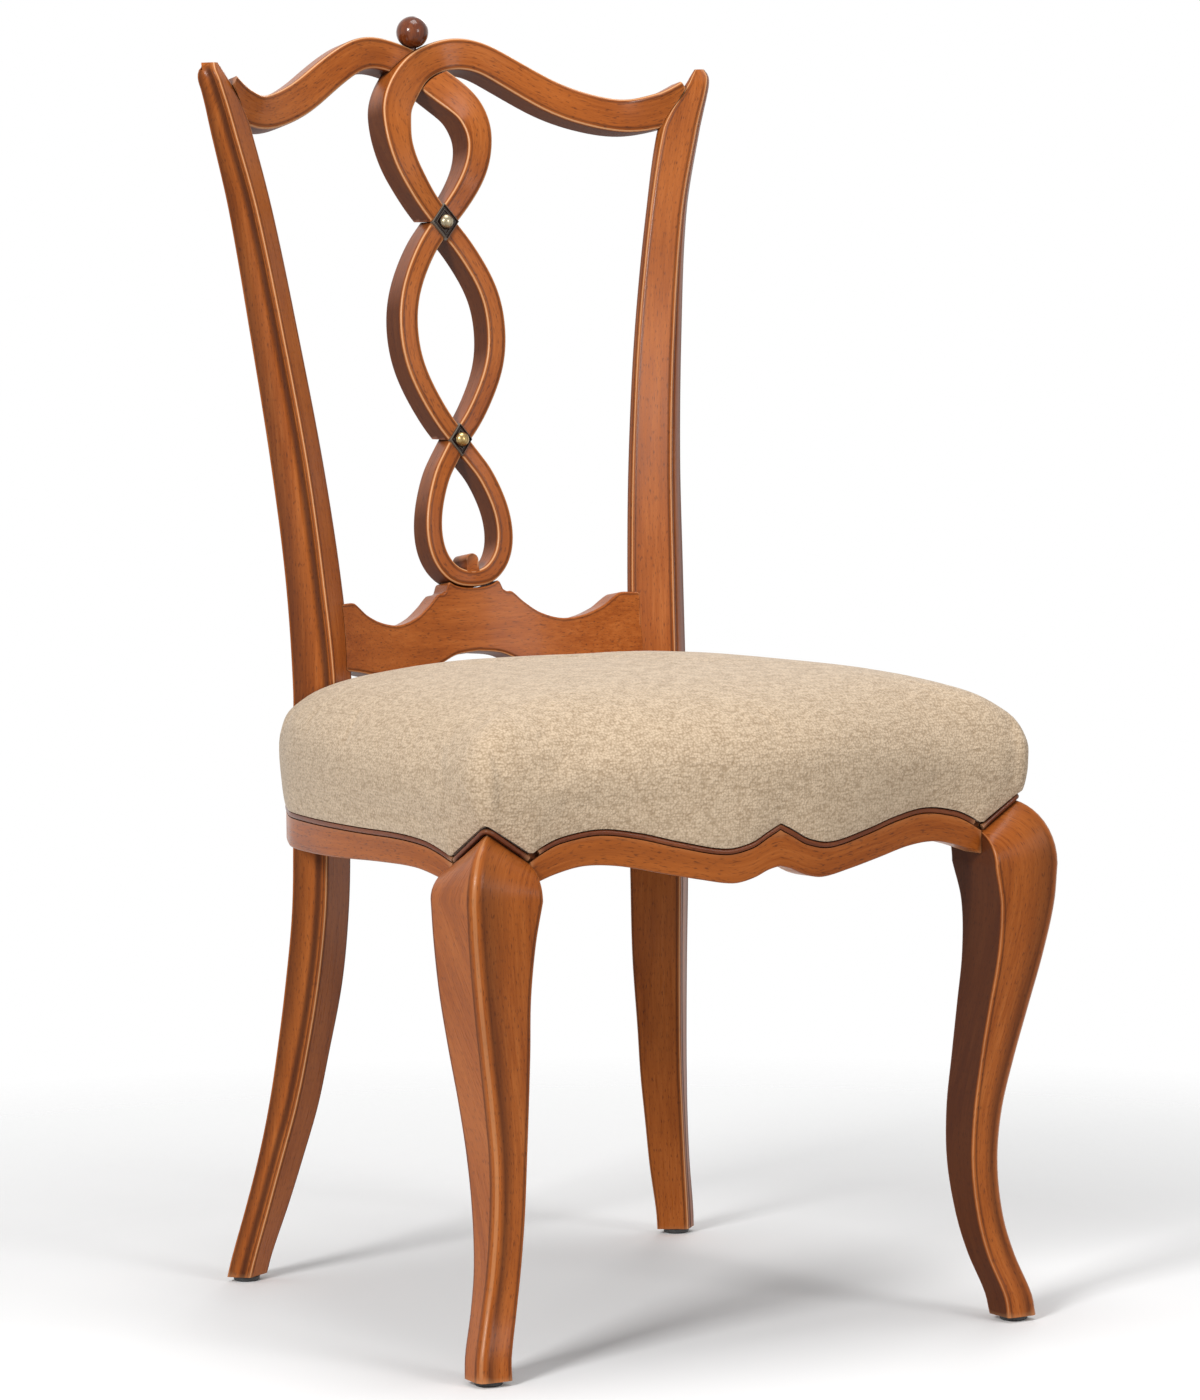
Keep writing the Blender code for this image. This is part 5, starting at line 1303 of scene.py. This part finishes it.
def makeCushion():
    line = evenly(seatLine(), cushion["around"])
    rings = coverRings(line)
    low, high = cushion["free"]
    pad = loft("seatCushion", rings, hold=lambda i, j: min(1, max(0, (high - rings[i][j].z + line[j][1])
                                                                     / (high - low))))
    held = [entry.value for entry in pad.data.attributes["held"].data]
    start = [vertex.co.copy() for vertex in pad.data.vertices]
    stuff(pad, held)
    moved = []
    for vertex, place in zip(pad.data.vertices, start):
        move = vertex.co - place
        moved.append(move.length)
        if move.length > cushion["cap"]:
            vertex.co = place + move.normalized() * cushion["cap"]
    print("cushion moved", round(1000 * sum(moved) / len(moved), 2), "mm, most",
          round(1000 * max(moved), 2))
    tuck = cushion["tuck"]
    for vertex in pad.data.vertices:
        x, y, z = vertex.co
        inward = tuck["x"] - abs(x)
        if y > tuck["y"] or inward < 0:
            continue
        across = min(1, inward / tuck["start"]) * math.exp(-inward / tuck["wide"])
        tall = tuck["tall"] * (1 if z > tuck["z"] else tuck["downwards"])
        vertex.co.y += tuck["deep"] * across * math.exp(-((z - tuck["z"]) / tall) ** 2)
    carve(pad, [postCutter("notch", side, *cushion["notchZ"], chair["notchReach"]) for _, side in sides])
    finishPiece(pad, seatFabric, ["seat_cushion"], 50)
    return pad


makeCushion()
print("cushion made")


# Solids that stay as they are, with their own looks

kept = {
    "corner_block": blockWood,
    "loop_dowel": blockWood,
    "rear_seat_rail": polishedWood("rearRailWood", woodLook, "x", 0.45),
    "bead_rear": polishedWood("rearBeadWood", beadLook, "x", 0.15),
    "dust_cover": lining,
    "seat_webbing": straps,
    "screw": zincSteel,
    "glide": glideBlack,
}
for name, solid in nodes.items():
    for start, material in kept.items():
        if name.startswith(start):
            solid.data.materials.clear()
            solid.data.materials.append(material)


# Floor, light and camera

def makeFloor():
    material, tree, shader = shaderTree("paleFloor")
    shader.inputs["Base Color"].default_value = (0.90, 0.90, 0.90, 1)
    shader.inputs["Roughness"].default_value = 0.8
    shader.inputs["Specular IOR Level"].default_value = 0.1
    place = node(tree, "ShaderNodeTexCoord").outputs["Object"]
    distance = node(tree, "ShaderNodeVectorMath", operation="LENGTH")
    tree.links.new(place, distance.inputs[0])
    fade = ranged(tree, distance.outputs["Value"], 0.55, 1.30)
    clear = node(tree, "ShaderNodeBsdfTransparent")
    blend = node(tree, "ShaderNodeMixShader")
    tree.links.new(fade, blend.inputs[0])
    tree.links.new(shader.outputs["BSDF"], blend.inputs[1])
    tree.links.new(clear.outputs["BSDF"], blend.inputs[2])
    tree.links.new(blend.outputs["Shader"], tree.nodes["Material Output"].inputs["Surface"])
    bm = bmesh.new()
    bmesh.ops.create_circle(bm, cap_ends=True, segments=96, radius=1.6)
    floor = toObject("floor", bm)
    floor.data.materials.append(material)


def makeWorld():
    world = bpy.data.worlds.new("studio")
    bpy.context.scene.world = world
    world.use_nodes = True
    tree = world.node_tree
    room = tree.nodes["Background"]
    room.inputs["Color"].default_value = (1, 1, 1, 1)
    room.inputs["Strength"].default_value = 0.32
    white = node(tree, "ShaderNodeBackground")
    white.inputs["Color"].default_value = (1, 1, 1, 1)
    white.inputs["Strength"].default_value = 1.0
    rays = node(tree, "ShaderNodeLightPath")
    seen = maths(tree, "MAXIMUM", rays.outputs["Is Camera Ray"], rays.outputs["Is Glossy Ray"])
    seen = maths(tree, "MAXIMUM", seen, rays.outputs["Is Transmission Ray"])
    blend = node(tree, "ShaderNodeMixShader")
    tree.links.new(seen, blend.inputs[0])
    tree.links.new(room.outputs["Background"], blend.inputs[1])
    tree.links.new(white.outputs["Background"], blend.inputs[2])
    tree.links.new(blend.outputs["Shader"], tree.nodes["World Output"].inputs["Surface"])


lamps = {
    # position, target, size, watts
    "key": ((-2.9, -1.6, 2.1), (0, 0, 0.45), 0.8, 92),
    "fill": ((1.0, -3.2, 1.6), (0, 0, 0.45), 1.0, 30),
    "top": ((0.1, -0.3, 3.2), (0, 0, 0.5), 1.3, 40),
    "rim": ((1.8, 2.2, 2.0), (0, 0, 0.6), 1.0, 10),
}


def makeLamps():
    for name, (place, target, size, watts) in lamps.items():
        light = bpy.data.lights.new(name, "AREA")
        light.energy = watts
        light.size = size
        lamp = bpy.data.objects.new(name, light)
        bpy.context.scene.collection.objects.link(lamp)
        lamp.location = place
        lamp.rotation_euler = (Vector(target) - Vector(place)).to_track_quat("-Z", "Y").to_euler()


view = {"place": (-1.9576, -3.5167, 0.7723), "target": (0.0014, -0.0248, 0.4691),
        "lens": 133.74, "roll": -0.636}


def makeCamera():
    camera = bpy.data.objects.new("camera", bpy.data.cameras.new("camera"))
    bpy.context.scene.collection.objects.link(camera)
    camera.data.lens = view["lens"]
    camera.data.sensor_width = 36
    place, target = Vector(view["place"]), Vector(view["target"])
    turn = (target - place).to_track_quat("-Z", "Y").to_matrix().to_4x4()
    roll = Matrix.Rotation(math.radians(view["roll"]), 4, "Z")
    camera.matrix_world = Matrix.Translation(place) @ turn @ roll
    bpy.context.scene.camera = camera


makeFloor()
makeWorld()
makeLamps()
makeCamera()
bpy.context.scene.view_settings.view_transform = "Standard"
print("floor, light and camera made")
